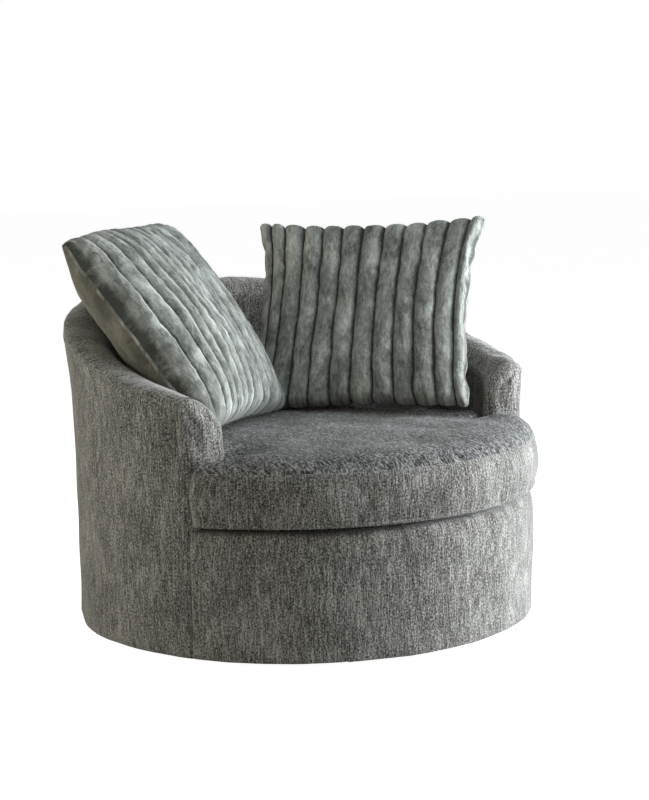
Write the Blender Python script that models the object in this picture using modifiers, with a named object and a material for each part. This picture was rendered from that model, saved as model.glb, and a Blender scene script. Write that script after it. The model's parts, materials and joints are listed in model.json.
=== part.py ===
"""Round barrel swivel chair with a T-shaped seat cushion and two channelled pillows.

Metres, +Z up. The origin is on the floor at the swivel axis and the front faces -Y.
Angles round the chair are measured from the front (-Y) towards +X.
"""
import math

import bmesh
import bpy
import numpy as np
from mathutils import Matrix, Vector

# Clearance between pieces that touch
GAP = 0.0003

# Facets of turned pieces and stations of the walls
TURN_STEPS = 32
RING_STEPS = 48
WALL_STATIONS = 41

# Barrel
BARREL_RADIUS = 0.600
COVER_WALL = 0.005
RIM_FLARE = 0.017
FLARE_START = 0.330
HEM_HEIGHT = 0.012
ARM_ANGLE = math.radians(64.0)
ARM_HEIGHT = 0.630
BACK_HEIGHT = 0.847
RIM_EASE = 0.69
ARM_WIDTH = 0.103
INNER_PAD = 0.025
INNER_LEAN = 0.008
ROLL_DEPTH = 0.035
ROLL_CROWN = 0.011
ROLL_JOINS = (12, 28)
ARM_PANEL = 0.018
TOP_RAIL_HEIGHT = 0.030
POST_DEPTH = 0.032
POST_SPREAD = math.radians(5.0)
POST_ANGLES = [math.radians(a) for a in (92.0, 120.0, 148.0, 180.0, 212.0, 240.0, 268.0)]

# Swivel base
GLIDE_RADIUS = 0.014
GLIDE_HEIGHT = 0.005
GLIDE_COUNT = 6
GLIDE_INSET = 0.040
BASE_SETBACK = 0.220
BASE_BOARD = 0.015
PLATE_RADIUS = 0.150
PLATE_BORE = 0.060
PLATE_STEEL = 0.003
BALL_RADIUS = 0.004
BALL_CIRCLE = 0.100
BALL_COUNT = 6
RACE_DEPTH = 0.0012
RACE_WIDTH = 0.0056
CAGE_WIDTH = 0.016
CAGE_STEEL = 0.002
BOLT_RADIUS = 0.003
BOLT_HEAD = 0.0065
BOLT_HEAD_HEIGHT = 0.003
BOLT_CIRCLE = 0.132
BOLT_COUNT = 4

# Frame
FLOOR_BOARD = 0.018
FLOOR_WINDOW = 0.055
WINDOW_SHARE = 0.6
HEM_RAIL_WIDTH = 0.034
DUST_CLOTH = 0.001
SEAT_RING_LEVEL = 0.262
SEAT_RING_BOARD = 0.018
SEAT_RING_WIDTH = 0.180
FRONT_RAIL_BOARD = 0.018
FRONT_POST_SIZE = 0.040
FRONT_POST_ANGLE = math.radians(35.0)

# Springs
SPRING_WIRE = 0.0018
SPRING_COUNT = 4
SPRING_SHARE = 0.312
SPRING_SWING = 0.026
SPRING_HALF_WAVES = 11
CLIP_WIDTH = 0.022
CLIP_HEIGHT = 0.010
CLIP_SETBACK = 0.097

# Front band, deck and seat cushion
BAND_TOP = 0.325
BAND_ROLL = 0.020
BAND_LIP = 0.038
DECK_PAD = 0.031
CUSHION_BULGE = 0.008
CUSHION_BOXING = 0.138
CUSHION_CROWN = 0.044
CROWN_REACH = 0.050
CUSHION_PROUD = 0.004
CUSHION_SIDE_GAP = 0.002
NOTCH_RELIEF = 0.012
EAR_CORNER = math.radians(60.6)

# Pillows
PILLOW_WIDTH = 0.632
PILLOW_HEIGHT = 0.645
PILLOW_THICK = 0.170
PILLOW_EAR = 0.070
PILLOW_SEAM = 0.010
CHANNELS = 12
CHANNEL_DEPTH = 0.010
LEFT_PILLOW_PLACE = (-0.5775, 0.2666)
LEFT_PILLOW_RISE = 0.4596
LEFT_PILLOW_FACING = math.radians(35.5)
LEFT_PILLOW_LEAN = math.radians(35.5)
LEFT_PILLOW_SPIN = math.radians(3.0)
LEFT_PILLOW_TWIST = -0.020
RIGHT_PILLOW_PLACE = (0.5996, 0.2072)
RIGHT_PILLOW_RISE = 0.4505
RIGHT_PILLOW_FACING = math.radians(-50.0)
RIGHT_PILLOW_LEAN = math.radians(30.7)
RIGHT_PILLOW_SPIN = math.radians(-0.7)
RIGHT_PILLOW_TWIST = 0.0

# Levels that follow from the sizes above
INNER_RADIUS = BARREL_RADIUS - ARM_WIDTH
BASE_RADIUS = BARREL_RADIUS - BASE_SETBACK
GLIDE_CIRCLE = BASE_RADIUS - GLIDE_INSET
WINDOW_CIRCLE = WINDOW_SHARE * BARREL_RADIUS
SPRING_PITCH = SPRING_SHARE * INNER_RADIUS
CLIP_REACH = INNER_RADIUS - CLIP_SETBACK
BOARD_BOTTOM = GLIDE_HEIGHT + GAP
LOWER_PLATE_BOTTOM = BOARD_BOTTOM + BASE_BOARD + GAP
LOWER_PLATE_TOP = LOWER_PLATE_BOTTOM + PLATE_STEEL
BALL_LEVEL = LOWER_PLATE_TOP - RACE_DEPTH + GAP + BALL_RADIUS
UPPER_PLATE_BOTTOM = BALL_LEVEL + BALL_RADIUS + GAP - RACE_DEPTH
UPPER_PLATE_TOP = UPPER_PLATE_BOTTOM + PLATE_STEEL
FLOOR_BOTTOM = UPPER_PLATE_TOP + GAP
FLOOR_TOP = FLOOR_BOTTOM + FLOOR_BOARD
FACET_SAG = 0.5 * BARREL_RADIUS * (math.pi / (WALL_STATIONS - 1) - ARM_ANGLE / (WALL_STATIONS - 1)) ** 2
COVER_INSIDE = BARREL_RADIUS - COVER_WALL
FRAME_RADIUS = COVER_INSIDE - FACET_SAG - GAP
POST_INSIDE = FRAME_RADIUS - POST_DEPTH
RING_RADIUS = POST_INSIDE - GAP
RING_TOP = SEAT_RING_LEVEL + SEAT_RING_BOARD
ARM_FRONT = BARREL_RADIUS * math.cos(ARM_ANGLE)
PANEL_BACK = ARM_FRONT - ARM_PANEL - GAP
BAND_SHELF = BAND_TOP - BAND_ROLL
DECK_BOTTOM = BAND_SHELF + GAP
DECK_TOP = DECK_BOTTOM + DECK_PAD
CUSHION_BOTTOM = DECK_TOP + GAP
CUSHION_SEAM = CUSHION_BOTTOM + CUSHION_BOXING
LEFT_PILLOW_AT = (LEFT_PILLOW_PLACE[0] * INNER_RADIUS, LEFT_PILLOW_PLACE[1] * INNER_RADIUS,
                  CUSHION_SEAM + LEFT_PILLOW_RISE * PILLOW_HEIGHT)
RIGHT_PILLOW_AT = (RIGHT_PILLOW_PLACE[0] * INNER_RADIUS, RIGHT_PILLOW_PLACE[1] * INNER_RADIUS,
                   CUSHION_SEAM + RIGHT_PILLOW_RISE * PILLOW_HEIGHT)

FABRIC = ("grey chenille", (0.118, 0.112, 0.104), 0.95, 0.0)
CUSHION_FABRIC = ("grey chenille cushion", (0.130, 0.133, 0.128), 0.95, 0.0)
PLUSH = ("silver plush", (0.275, 0.300, 0.295), 0.90, 0.0)
PLYWOOD = ("plywood", (0.560, 0.410, 0.250), 0.70, 0.0)
HARDWOOD = ("frame wood", (0.500, 0.350, 0.200), 0.75, 0.0)
STEEL = ("zinc plated steel", (0.560, 0.570, 0.580), 0.35, 1.0)
BLACK_STEEL = ("black enamelled steel", (0.030, 0.030, 0.032), 0.45, 0.6)
SPRING_STEEL = ("oiled spring steel", (0.160, 0.160, 0.165), 0.40, 1.0)
NYLON = ("black nylon", (0.020, 0.020, 0.020), 0.55, 0.0)
CLOTH = ("black dust cloth", (0.025, 0.025, 0.027), 0.98, 0.0)
WADDING = ("white wadding", (0.700, 0.690, 0.660), 0.98, 0.0)

for old in list(bpy.data.objects):
    bpy.data.objects.remove(old, do_unlink=True)

chair_parts = bpy.data.collections.new("swivel_chair")
chair_cutters = bpy.data.collections.new("swivel_chair_cutters")
bpy.context.scene.collection.children.link(chair_parts)
bpy.context.scene.collection.children.link(chair_cutters)


def finish(name, spec):
    """One Principled material for one piece."""
    mat = bpy.data.materials.new(name)
    mat.use_nodes = True
    shader = mat.node_tree.nodes["Principled BSDF"]
    shader.inputs["Base Color"].default_value = (*spec[1], 1.0)
    shader.inputs["Roughness"].default_value = spec[2]
    shader.inputs["Metallic"].default_value = spec[3]
    return mat


def place(obj, parent, spec):
    """Put an object in the chair's collection, give it its material and its parent."""
    for owner in list(obj.users_collection):
        owner.objects.unlink(obj)
    chair_parts.objects.link(obj)
    obj.data.materials.clear()
    obj.data.materials.append(finish(obj.name + " finish", spec))
    if parent is not None:
        obj.parent = parent
        obj.matrix_parent_inverse = parent.matrix_world.inverted()
    return obj


def joint_empty(name, at, parent=None):
    """An empty on a joint's axis that carries the pieces of one body."""
    empty = bpy.data.objects.new(name, None)
    empty.empty_display_size = 0.1
    empty.location = at
    chair_parts.objects.link(empty)
    if parent is not None:
        empty.parent = parent
        bpy.context.view_layer.update()
        empty.matrix_parent_inverse = parent.matrix_world.inverted()
    bpy.context.view_layer.update()
    return empty


def smooth(obj, angle=35.0):
    """Shade a round piece smooth and keep its sharp edges."""
    obj.data.shade_smooth()
    obj.data.set_sharp_from_angle(angle=math.radians(angle))


def turned(name, profile, steps, parent, spec, closed=False, at=(0.0, 0.0, 0.0)):
    """Turn a profile of (radius, z) about Z; it runs down the outer side first."""
    mesh = bpy.data.meshes.new(name)
    points = [(r, 0.0, z) for r, z in profile]
    edges = [(i, i + 1) for i in range(len(points) - 1)]
    if closed:
        edges.append((len(points) - 1, 0))
    mesh.from_pydata(points, edges, [])
    obj = bpy.data.objects.new(name, mesh)
    obj.location = at
    screw = obj.modifiers.new("Turn", "SCREW")
    screw.steps = steps
    screw.render_steps = steps
    screw.use_merge_vertices = True
    screw.merge_threshold = 0.00005
    screw.use_smooth_shade = True
    return place(obj, parent, spec)


def ring(name, inner, outer, bottom, top, steps, parent, spec, ease=0.0):
    """A flat ring with a small chamfer on its outer edges."""
    profile = [(outer - ease, top), (outer, top - ease), (outer, bottom + ease), (outer - ease, bottom)]
    if ease == 0.0:
        profile = [(outer, top), (outer, bottom)]
    profile = profile + [(inner, bottom), (inner, top)]
    return turned(name, profile, steps, parent, spec, closed=True)


def disc(name, radius, bottom, top, sides, parent, spec):
    """A round board."""
    bpy.ops.mesh.primitive_cylinder_add(vertices=sides, radius=radius, depth=top - bottom,
                                        location=(0.0, 0.0, 0.5 * (bottom + top)))
    obj = bpy.context.active_object
    obj.name = name
    obj.data.name = name
    smooth(obj)
    return place(obj, parent, spec)


def block(name, size, at, turn, parent, spec, bevel=0.0):
    """A rectangular piece with chamfered edges, turned about Z."""
    bpy.ops.mesh.primitive_cube_add(size=1.0)
    obj = bpy.context.active_object
    obj.name = name
    obj.data.name = name
    obj.data.transform(Matrix.Diagonal((*size, 1.0)))
    obj.location = at
    obj.rotation_euler = (0.0, 0.0, turn)
    if bevel > 0.0:
        edge = obj.modifiers.new("Chamfer", "BEVEL")
        edge.width = bevel
        edge.segments = 1
    return place(obj, parent, spec)


def polar(angle, radius, z):
    """Point at an angle from the front towards +X."""
    return Vector((radius * math.sin(angle), -radius * math.cos(angle), z))


def share_of_back(angle):
    """0 at an arm front, 1 at the middle of the back."""
    from_front = math.pi - abs(angle - math.pi)
    return min(max((from_front - ARM_ANGLE) / (math.pi - ARM_ANGLE), 0.0), 1.0)


def rim_level(angle):
    """Height of the rim's outer seam: an eased fall from the back to the arm fronts."""
    share = share_of_back(angle) ** RIM_EASE
    return ARM_HEIGHT + (BACK_HEIGHT - ARM_HEIGHT) * 0.5 * (1.0 - math.cos(math.pi * share))


def cover_radius(z):
    """Outside radius of the barrel: plumb up to the seat and flared above it."""
    lift = (z - FLARE_START) / (BACK_HEIGHT - FLARE_START)
    return BARREL_RADIUS + RIM_FLARE * min(max(lift, 0.0), 1.0)


def station_angle(share, radius, plane):
    """Angle of a station, so that both ends of a wall lie in the plane y = -plane."""
    first = math.acos(plane / radius)
    return first + share * (2.0 * math.pi - 2.0 * first)


def skin(name, sections, parent, spec, loop=False):
    """Loft a closed section through its stations, with a flat cap at each end."""
    bm = bmesh.new()
    rows = [[bm.verts.new(p) for p in section] for section in sections]
    count = len(rows[0])
    pairs = list(zip(rows, rows[1:]))
    if loop:
        pairs.append((rows[-1], rows[0]))
    for here, there in pairs:
        for i in range(count):
            j = (i + 1) % count
            bm.faces.new((here[i], here[j], there[j], there[i]))
    if not loop:
        bm.faces.new(rows[0])
        bm.faces.new(list(reversed(rows[-1])))
    bmesh.ops.recalc_face_normals(bm, faces=bm.faces)
    mesh = bpy.data.meshes.new(name)
    bm.to_mesh(mesh)
    bm.free()
    obj = bpy.data.objects.new(name, mesh)
    smooth(obj)
    return place(obj, parent, spec)


def wall(name, section, plane, count, parent, spec, start=0.0, end=1.0):
    """A wall of the barrel round the back; section(angle) gives its (radius, z) points."""
    sections = []
    for k in range(count):
        share = start + (end - start) * k / (count - 1)
        middle = station_angle(share, BARREL_RADIUS, ARM_FRONT)
        points = []
        for radius, z in section(middle):
            points.append(polar(station_angle(share, radius, plane), radius, z))
        sections.append(points)
    return skin(name, sections, parent, spec)


def front_wall(name, section, plane, count, parent, spec):
    """A wall across the front, with both ends in the plane y = -plane."""
    sections = []
    for k in range(count):
        share = 2.0 * k / (count - 1) - 1.0
        points = []
        for radius, z in section:
            points.append(polar(share * math.acos(plane / radius), radius, z))
        sections.append(points)
    return skin(name, sections, parent, spec)


def flat_piece(name, outline, bottom, top, parent, spec):
    """A flat outline as a filled 2D curve with thickness."""
    curve = bpy.data.curves.new(name, "CURVE")
    curve.dimensions = "2D"
    curve.fill_mode = "BOTH"
    curve.extrude = 0.5 * (top - bottom)
    spline = curve.splines.new("POLY")
    spline.points.add(len(outline) - 1)
    for point, (x, y) in zip(spline.points, outline):
        point.co = (x, y, 0.0, 1.0)
    spline.use_cyclic_u = True
    obj = bpy.data.objects.new(name, curve)
    obj.location = (0.0, 0.0, 0.5 * (top + bottom))
    return place(obj, parent, spec)


def cut(obj, cutters):
    """Cut an object with upright cylinders or other solids."""
    for k, cutter in enumerate(cutters):
        for owner in list(cutter.users_collection):
            owner.objects.unlink(cutter)
        chair_cutters.objects.link(cutter)
        cutter.hide_render = True
        cutter.display_type = "WIRE"
        step = obj.modifiers.new("Cut %d" % (k + 1), "BOOLEAN")
        step.operation = "DIFFERENCE"
        step.solver = "EXACT"
        step.object = cutter


def rod_cutter(name, radius, at, height, sides):
    """An upright cylinder to cut a hole with."""
    bpy.ops.mesh.primitive_cylinder_add(vertices=sides, radius=radius, depth=height, location=at,
                                        rotation=(0.0, 0.0, 0.35 * math.pi / sides))
    obj = bpy.context.active_object
    obj.name = name
    return obj


# Bodies and the joints that carry them
swivel_axis = joint_empty("swivel_axis", (0.0, 0.0, FLOOR_BOTTOM))
cage_axis = joint_empty("cage_axis", (0.0, 0.0, BALL_LEVEL))
seat_lift = joint_empty("seat_lift", (0.0, 0.0, CUSHION_BOTTOM), swivel_axis)
left_pillow_lift = joint_empty("left_pillow_lift", LEFT_PILLOW_AT, seat_lift)
right_pillow_lift = joint_empty("right_pillow_lift", RIGHT_PILLOW_AT, seat_lift)


def glides():
    """Round nylon glides under the base board."""
    for k in range(GLIDE_COUNT):
        angle = math.radians(30.0) + k * 2.0 * math.pi / GLIDE_COUNT
        at = polar(angle, GLIDE_CIRCLE, 0.0)
        profile = [(0.0, GLIDE_HEIGHT), (GLIDE_RADIUS, GLIDE_HEIGHT), (GLIDE_RADIUS, 0.0015),
                   (GLIDE_RADIUS - 0.002, 0.0), (0.0, 0.0)]
        turned("glide_%d" % (k + 1), profile, 12, None, NYLON, at=at)


def base_board():
    """Round plywood board that stands on the glides."""
    board = disc("base_board", BASE_RADIUS, BOARD_BOTTOM, BOARD_BOTTOM + BASE_BOARD, 48, None, PLYWOOD)
    cutters = []
    for k in range(BOLT_COUNT):
        at = polar(math.radians(45.0) + k * 2.0 * math.pi / BOLT_COUNT, BOLT_CIRCLE, BOARD_BOTTOM + 0.5 * BASE_BOARD)
        cutters.append(rod_cutter("base_bolt_hole_%d" % (k + 1), BOLT_RADIUS + GAP, at, 2.0 * BASE_BOARD, 8))
    cut(board, cutters)


def race_profile(bottom, top, side):
    """Section of a swivel plate: a flat ring with a groove for the balls on one side."""
    outer = [(PLATE_RADIUS, top), (PLATE_RADIUS, bottom)]
    inner = [(PLATE_BORE, bottom), (PLATE_BORE, top)]
    if side > 0:
        groove = [(BALL_CIRCLE - RACE_WIDTH, top), (BALL_CIRCLE - 0.5 * RACE_WIDTH, top - RACE_DEPTH),
                  (BALL_CIRCLE + 0.5 * RACE_WIDTH, top - RACE_DEPTH), (BALL_CIRCLE + RACE_WIDTH, top)]
        return outer + inner + groove
    groove = [(BALL_CIRCLE + RACE_WIDTH, bottom), (BALL_CIRCLE + 0.5 * RACE_WIDTH, bottom + RACE_DEPTH),
              (BALL_CIRCLE - 0.5 * RACE_WIDTH, bottom + RACE_DEPTH), (BALL_CIRCLE - RACE_WIDTH, bottom)]
    return outer + groove + inner


def bolt_holes(obj, first, level, label):
    """Four bolt holes through a swivel plate."""
    cutters = []
    for k in range(BOLT_COUNT):
        at = polar(first + k * 2.0 * math.pi / BOLT_COUNT, BOLT_CIRCLE, level)
        cutters.append(rod_cutter("%s_%d" % (label, k + 1), BOLT_RADIUS + GAP, at, 4.0 * PLATE_STEEL, 8))
    cut(obj, cutters)


def bolt(name, at, length, up, parent):
    """A pan-head bolt; its head is on top when up is 1 and below when up is -1."""
    head = BOLT_HEAD_HEIGHT
    profile = [(0.0, head), (0.6 * BOLT_HEAD, head), (BOLT_HEAD, 0.5 * head), (BOLT_HEAD, 0.0),
               (BOLT_RADIUS, 0.0), (BOLT_RADIUS, -length), (0.0, -length)]
    if up < 0:
        profile = [(r, -z) for r, z in reversed(profile)]
    turned(name, profile, 10, parent, STEEL, at=at)


def swivel():
    """Two steel plates with balls in a cage between them, bolted to board and frame."""
    lower = turned("swivel_lower_plate", race_profile(LOWER_PLATE_BOTTOM, LOWER_PLATE_TOP, 1),
                   TURN_STEPS, None, BLACK_STEEL, closed=True)
    bolt_holes(lower, math.radians(45.0), LOWER_PLATE_BOTTOM, "lower_plate_hole")
    upper = turned("swivel_upper_plate", race_profile(UPPER_PLATE_BOTTOM, UPPER_PLATE_TOP, -1),
                   TURN_STEPS, swivel_axis, BLACK_STEEL, closed=True)
    bolt_holes(upper, 0.0, UPPER_PLATE_BOTTOM, "upper_plate_hole")
    half = 0.5 * CAGE_WIDTH
    level = BALL_LEVEL - 0.5 * CAGE_STEEL
    cage = ring("ball_cage", BALL_CIRCLE - half, BALL_CIRCLE + half, level, level + CAGE_STEEL,
                TURN_STEPS, cage_axis, NYLON)
    cutters = []
    for k in range(BALL_COUNT):
        at = polar(k * 2.0 * math.pi / BALL_COUNT, BALL_CIRCLE, BALL_LEVEL)
        cutters.append(rod_cutter("ball_pocket_%d" % (k + 1), BALL_RADIUS + GAP, at, 0.02, 12))
        bpy.ops.mesh.primitive_uv_sphere_add(segments=10, ring_count=6, radius=BALL_RADIUS, location=at)
        ball = bpy.context.active_object
        ball.name = "ball_%d" % (k + 1)
        ball.data.name = ball.name
        ball.data.shade_smooth()
        place(ball, cage_axis, STEEL)
    cut(cage, cutters)
    for k in range(BOLT_COUNT):
        at = polar(math.radians(45.0) + k * 2.0 * math.pi / BOLT_COUNT, BOLT_CIRCLE, LOWER_PLATE_TOP + GAP)
        bolt("lower_bolt_%d" % (k + 1), at, PLATE_STEEL + 0.8 * BASE_BOARD, 1, None)
    for k in range(BOLT_COUNT):
        at = polar(k * 2.0 * math.pi / BOLT_COUNT, BOLT_CIRCLE, UPPER_PLATE_BOTTOM - GAP)
        bolt("upper_bolt_%d" % (k + 1), at, PLATE_STEEL + 0.8 * FLOOR_BOARD, -1, swivel_axis)


def frame_floor():
    """Round plywood floor of the turning frame, lightened by four round holes."""
    floor = disc("frame_floor", FRAME_RADIUS, FLOOR_BOTTOM, FLOOR_TOP, RING_STEPS, swivel_axis, PLYWOOD)
    cutters = []
    for k in range(4):
        at = polar(math.radians(45.0 + 90.0 * k), WINDOW_CIRCLE, FLOOR_BOTTOM + 0.5 * FLOOR_BOARD)
        cutters.append(rod_cutter("floor_window_%d" % (k + 1), FLOOR_WINDOW, at, 3.0 * FLOOR_BOARD, 20))
        at = polar(math.radians(90.0 * k), BOLT_CIRCLE, FLOOR_BOTTOM + 0.5 * FLOOR_BOARD)
        cutters.append(rod_cutter("floor_bolt_hole_%d" % (k + 1), BOLT_RADIUS + GAP, at, 3.0 * FLOOR_BOARD, 8))
    cut(floor, cutters)
    ring("hem_rail", FRAME_RADIUS - HEM_RAIL_WIDTH, FRAME_RADIUS, HEM_HEIGHT + 0.002, FLOOR_BOTTOM - GAP,
         RING_STEPS, swivel_axis, PLYWOOD)
    ring("dust_cover", BASE_RADIUS + 0.02, FRAME_RADIUS - HEM_RAIL_WIDTH - 0.0004, FLOOR_BOTTOM - GAP - DUST_CLOTH,
         FLOOR_BOTTOM - GAP, RING_STEPS, swivel_axis, CLOTH)


def posts():
    """Posts of the barrel, their tops cut along the rail, and two short front posts."""
    def section(angle):
        top = rim_level(angle) - ROLL_DEPTH - TOP_RAIL_HEIGHT - 4.0 * GAP
        bottom = FLOOR_TOP + GAP
        return [(POST_INSIDE, bottom), (FRAME_RADIUS, bottom), (FRAME_RADIUS, top), (POST_INSIDE, top)]

    first = station_angle(0.0, BARREL_RADIUS, ARM_FRONT)
    whole = 2.0 * math.pi - 2.0 * first
    for k, angle in enumerate(POST_ANGLES):
        share = (angle - first) / whole
        half = 0.5 * POST_SPREAD / whole
        wall("back_post_%d" % (k + 1), section, PANEL_BACK, 3, swivel_axis, HARDWOOD, share - half, share + half)
    reach = POST_SPREAD / whole
    wall("arm_post_right", section, PANEL_BACK, 3, swivel_axis, HARDWOOD, 0.0, reach)
    wall("arm_post_left", section, PANEL_BACK, 3, swivel_axis, HARDWOOD, 1.0 - reach, 1.0)
    bottom = FLOOR_TOP + GAP
    top = SEAT_RING_LEVEL - GAP
    radius = RING_RADIUS - FRONT_POST_SIZE
    for side, label in ((1.0, "right"), (-1.0, "left")):
        at = polar(side * FRONT_POST_ANGLE, radius, 0.5 * (bottom + top))
        block("front_post_" + label, (FRONT_POST_SIZE, FRONT_POST_SIZE, top - bottom), at,
              side * FRONT_POST_ANGLE, swivel_axis, HARDWOOD, bevel=0.002)


def rails():
    """Top rail along the rim, seat ring and curved front rail."""
    def section(angle):
        level = rim_level(angle)
        top = level - ROLL_DEPTH - GAP
        bottom = top - TOP_RAIL_HEIGHT
        outside = cover_radius(bottom) - COVER_WALL - FACET_SAG - GAP
        inside = INNER_RADIUS + INNER_PAD + INNER_LEAN + GAP
        return [(inside, bottom), (outside, bottom), (outside, top), (inside, top)]

    wall("top_rail", section, PANEL_BACK, WALL_STATIONS, swivel_axis, PLYWOOD)
    ring("seat_ring", RING_RADIUS - SEAT_RING_WIDTH, RING_RADIUS, SEAT_RING_LEVEL, RING_TOP, RING_STEPS, swivel_axis,
         PLYWOOD)
    inside = FRAME_RADIUS - FRONT_RAIL_BOARD
    section = [(inside, FLOOR_TOP + GAP), (FRAME_RADIUS, FLOOR_TOP + GAP), (FRAME_RADIUS, BAND_SHELF - GAP),
               (inside, BAND_SHELF - GAP)]
    front_wall("front_rail", section, ARM_FRONT + GAP, 21, swivel_axis, PLYWOOD)


def springs():
    """Sinuous springs from front to back, arched between two clip rails on the seat ring."""
    low = RING_TOP + GAP + 0.5 * CLIP_HEIGHT
    high = DECK_BOTTOM - GAP - SPRING_WIRE
    front = -CLIP_REACH + 0.5 * CLIP_WIDTH + GAP + SPRING_WIRE
    back = CLIP_REACH - 0.5 * CLIP_WIDTH - GAP - SPRING_WIRE
    for k in range(SPRING_COUNT):
        x = (k - 0.5 * (SPRING_COUNT - 1)) * SPRING_PITCH
        curve = bpy.data.curves.new("spring_%d" % (k + 1), "CURVE")
        curve.dimensions = "3D"
        curve.bevel_depth = SPRING_WIRE
        curve.bevel_resolution = 1
        curve.use_fill_caps = True
        spline = curve.splines.new("POLY")
        count = 3 * SPRING_HALF_WAVES + 1
        spline.points.add(count - 1)
        for i in range(count):
            share = i / (count - 1)
            wave = 1.25 * math.sin(math.pi * SPRING_HALF_WAVES * share)
            side = SPRING_SWING * min(max(wave, -1.0), 1.0)
            lift = math.sin(math.pi * share)
            spline.points[i].co = (x + side, front + (back - front) * share, low + (high - low) * lift, 1.0)
        obj = bpy.data.objects.new("spring_%d" % (k + 1), curve)
        place(obj, swivel_axis, SPRING_STEEL)
    length = (SPRING_COUNT - 1) * SPRING_PITCH + 2.0 * CLIP_WIDTH
    at_z = RING_TOP + GAP + 0.5 * CLIP_HEIGHT
    for y, label in ((-CLIP_REACH, "front"), (CLIP_REACH, "back")):
        block("clip_rail_" + label, (length, CLIP_WIDTH, CLIP_HEIGHT), (0.0, y, at_z), 0.0, swivel_axis,
              STEEL, bevel=0.001)


def inner_section(angle):
    """Section of the inside back and arm pad, from the seat ring to the roll."""
    top = rim_level(angle) - ROLL_DEPTH - GAP
    bottom = RING_TOP + GAP
    middle = 0.5 * (top + bottom)
    back = INNER_RADIUS + INNER_PAD
    return [(INNER_RADIUS, bottom), (back, bottom), (back + INNER_LEAN, top), (INNER_RADIUS + INNER_LEAN, top),
            (INNER_RADIUS, middle)]


def cover_section(angle):
    """Section of the outside cover, from the hem to the rim's outer seam."""
    top = rim_level(angle)
    levels = [HEM_HEIGHT, FLARE_START, 0.5 * (FLARE_START + top), top - GAP]
    outside = [(cover_radius(z), z) for z in levels]
    inside = [(cover_radius(z) - COVER_WALL, z) for z in reversed(levels)]
    return outside + inside


def roll_section(angle):
    """Section of the padded roll: outer seam, shoulder, crest and inner seam."""
    level = rim_level(angle)
    outer = cover_radius(level)
    inner = INNER_RADIUS + INNER_LEAN
    width = outer - inner
    foot = level - ROLL_DEPTH
    points = [(outer, level)]
    for share, lift in ((0.03, 0.42), (0.12, 0.78), (0.26, 0.98), (0.42, 1.0), (0.60, 0.84), (0.78, 0.42), (0.92, -0.35)):
        points.append((outer - share * width, level + lift * ROLL_CROWN))
    points.append((inner - 0.002, level - 0.5 * ROLL_DEPTH))
    points.append((inner, foot))
    points.append((cover_radius(foot) - COVER_WALL - GAP, foot))
    points.append((outer - COVER_WALL - GAP, level))
    return points


def upholstery():
    """Outside cover, roll, inside pad, arm front panels and front band."""
    wall("outer_cover", cover_section, ARM_FRONT, WALL_STATIONS, swivel_axis, FABRIC)
    last = WALL_STATIONS - 1
    whole = station_angle(1.0, BARREL_RADIUS, ARM_FRONT) - station_angle(0.0, BARREL_RADIUS, ARM_FRONT)
    seam = 0.5 * GAP / (BARREL_RADIUS * whole)
    right, left = ROLL_JOINS
    wall("rim_roll_right", roll_section, ARM_FRONT, right + 1, swivel_axis, FABRIC, 0.0, right / last - seam)
    wall("rim_roll_back", roll_section, ARM_FRONT, left - right + 1, swivel_axis, FABRIC, right / last + seam,
         left / last - seam)
    wall("rim_roll_left", roll_section, ARM_FRONT, last - left + 1, swivel_axis, FABRIC, left / last + seam, 1.0)
    wall("inner_pad", inner_section, PANEL_BACK, WALL_STATIONS, swivel_axis, FABRIC)
    bottom = RING_TOP + GAP
    top = ARM_HEIGHT - ROLL_DEPTH - GAP
    for side, label in ((1.0, "right"), (-1.0, "left")):
        sections = []
        for depth, ease in ((ARM_FRONT, 0.006), (ARM_FRONT - 0.3 * ARM_PANEL, 0.001), (ARM_FRONT - ARM_PANEL, 0.0)):
            inside = math.sqrt(INNER_RADIUS ** 2 - depth ** 2) + ease
            outside = math.sqrt(FRAME_RADIUS ** 2 - depth ** 2) - ease
            sections.append([(side * inside, -depth, bottom), (side * outside, -depth, bottom),
                             (side * outside, -depth, top - ease), (side * inside, -depth, top - ease)])
        skin("arm_front_" + label, sections, swivel_axis, FABRIC)
    band = [(BARREL_RADIUS, HEM_HEIGHT), (BARREL_RADIUS + 0.0015, 0.5 * BAND_TOP), (BARREL_RADIUS, BAND_SHELF),
            (BARREL_RADIUS - 0.006, BAND_TOP - 0.005), (BARREL_RADIUS - 0.016, BAND_TOP),
            (BARREL_RADIUS - BAND_LIP, BAND_TOP), (BARREL_RADIUS - BAND_LIP, BAND_SHELF),
            (COVER_INSIDE, BAND_SHELF), (COVER_INSIDE, HEM_HEIGHT)]
    front_wall("front_band", band, ARM_FRONT + GAP, 25, swivel_axis, FABRIC)


def deck_outline():
    """Plan of the deck pad: the inside of the front band and the inside of the barrel."""
    front = BARREL_RADIUS - BAND_LIP - FACET_SAG - GAP
    back = INNER_RADIUS - FACET_SAG - GAP
    reach = math.acos((ARM_FRONT + 2.0 * GAP) / front)
    turn = math.acos((ARM_FRONT + 2.0 * GAP) / back)
    points = []
    for k in range(17):
        angle = -reach + 2.0 * reach * k / 16
        points.append((front * math.sin(angle), -front * math.cos(angle)))
    for k in range(33):
        angle = turn + (2.0 * math.pi - 2.0 * turn) * k / 32
        points.append((back * math.sin(angle), -back * math.cos(angle)))
    return points


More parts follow.
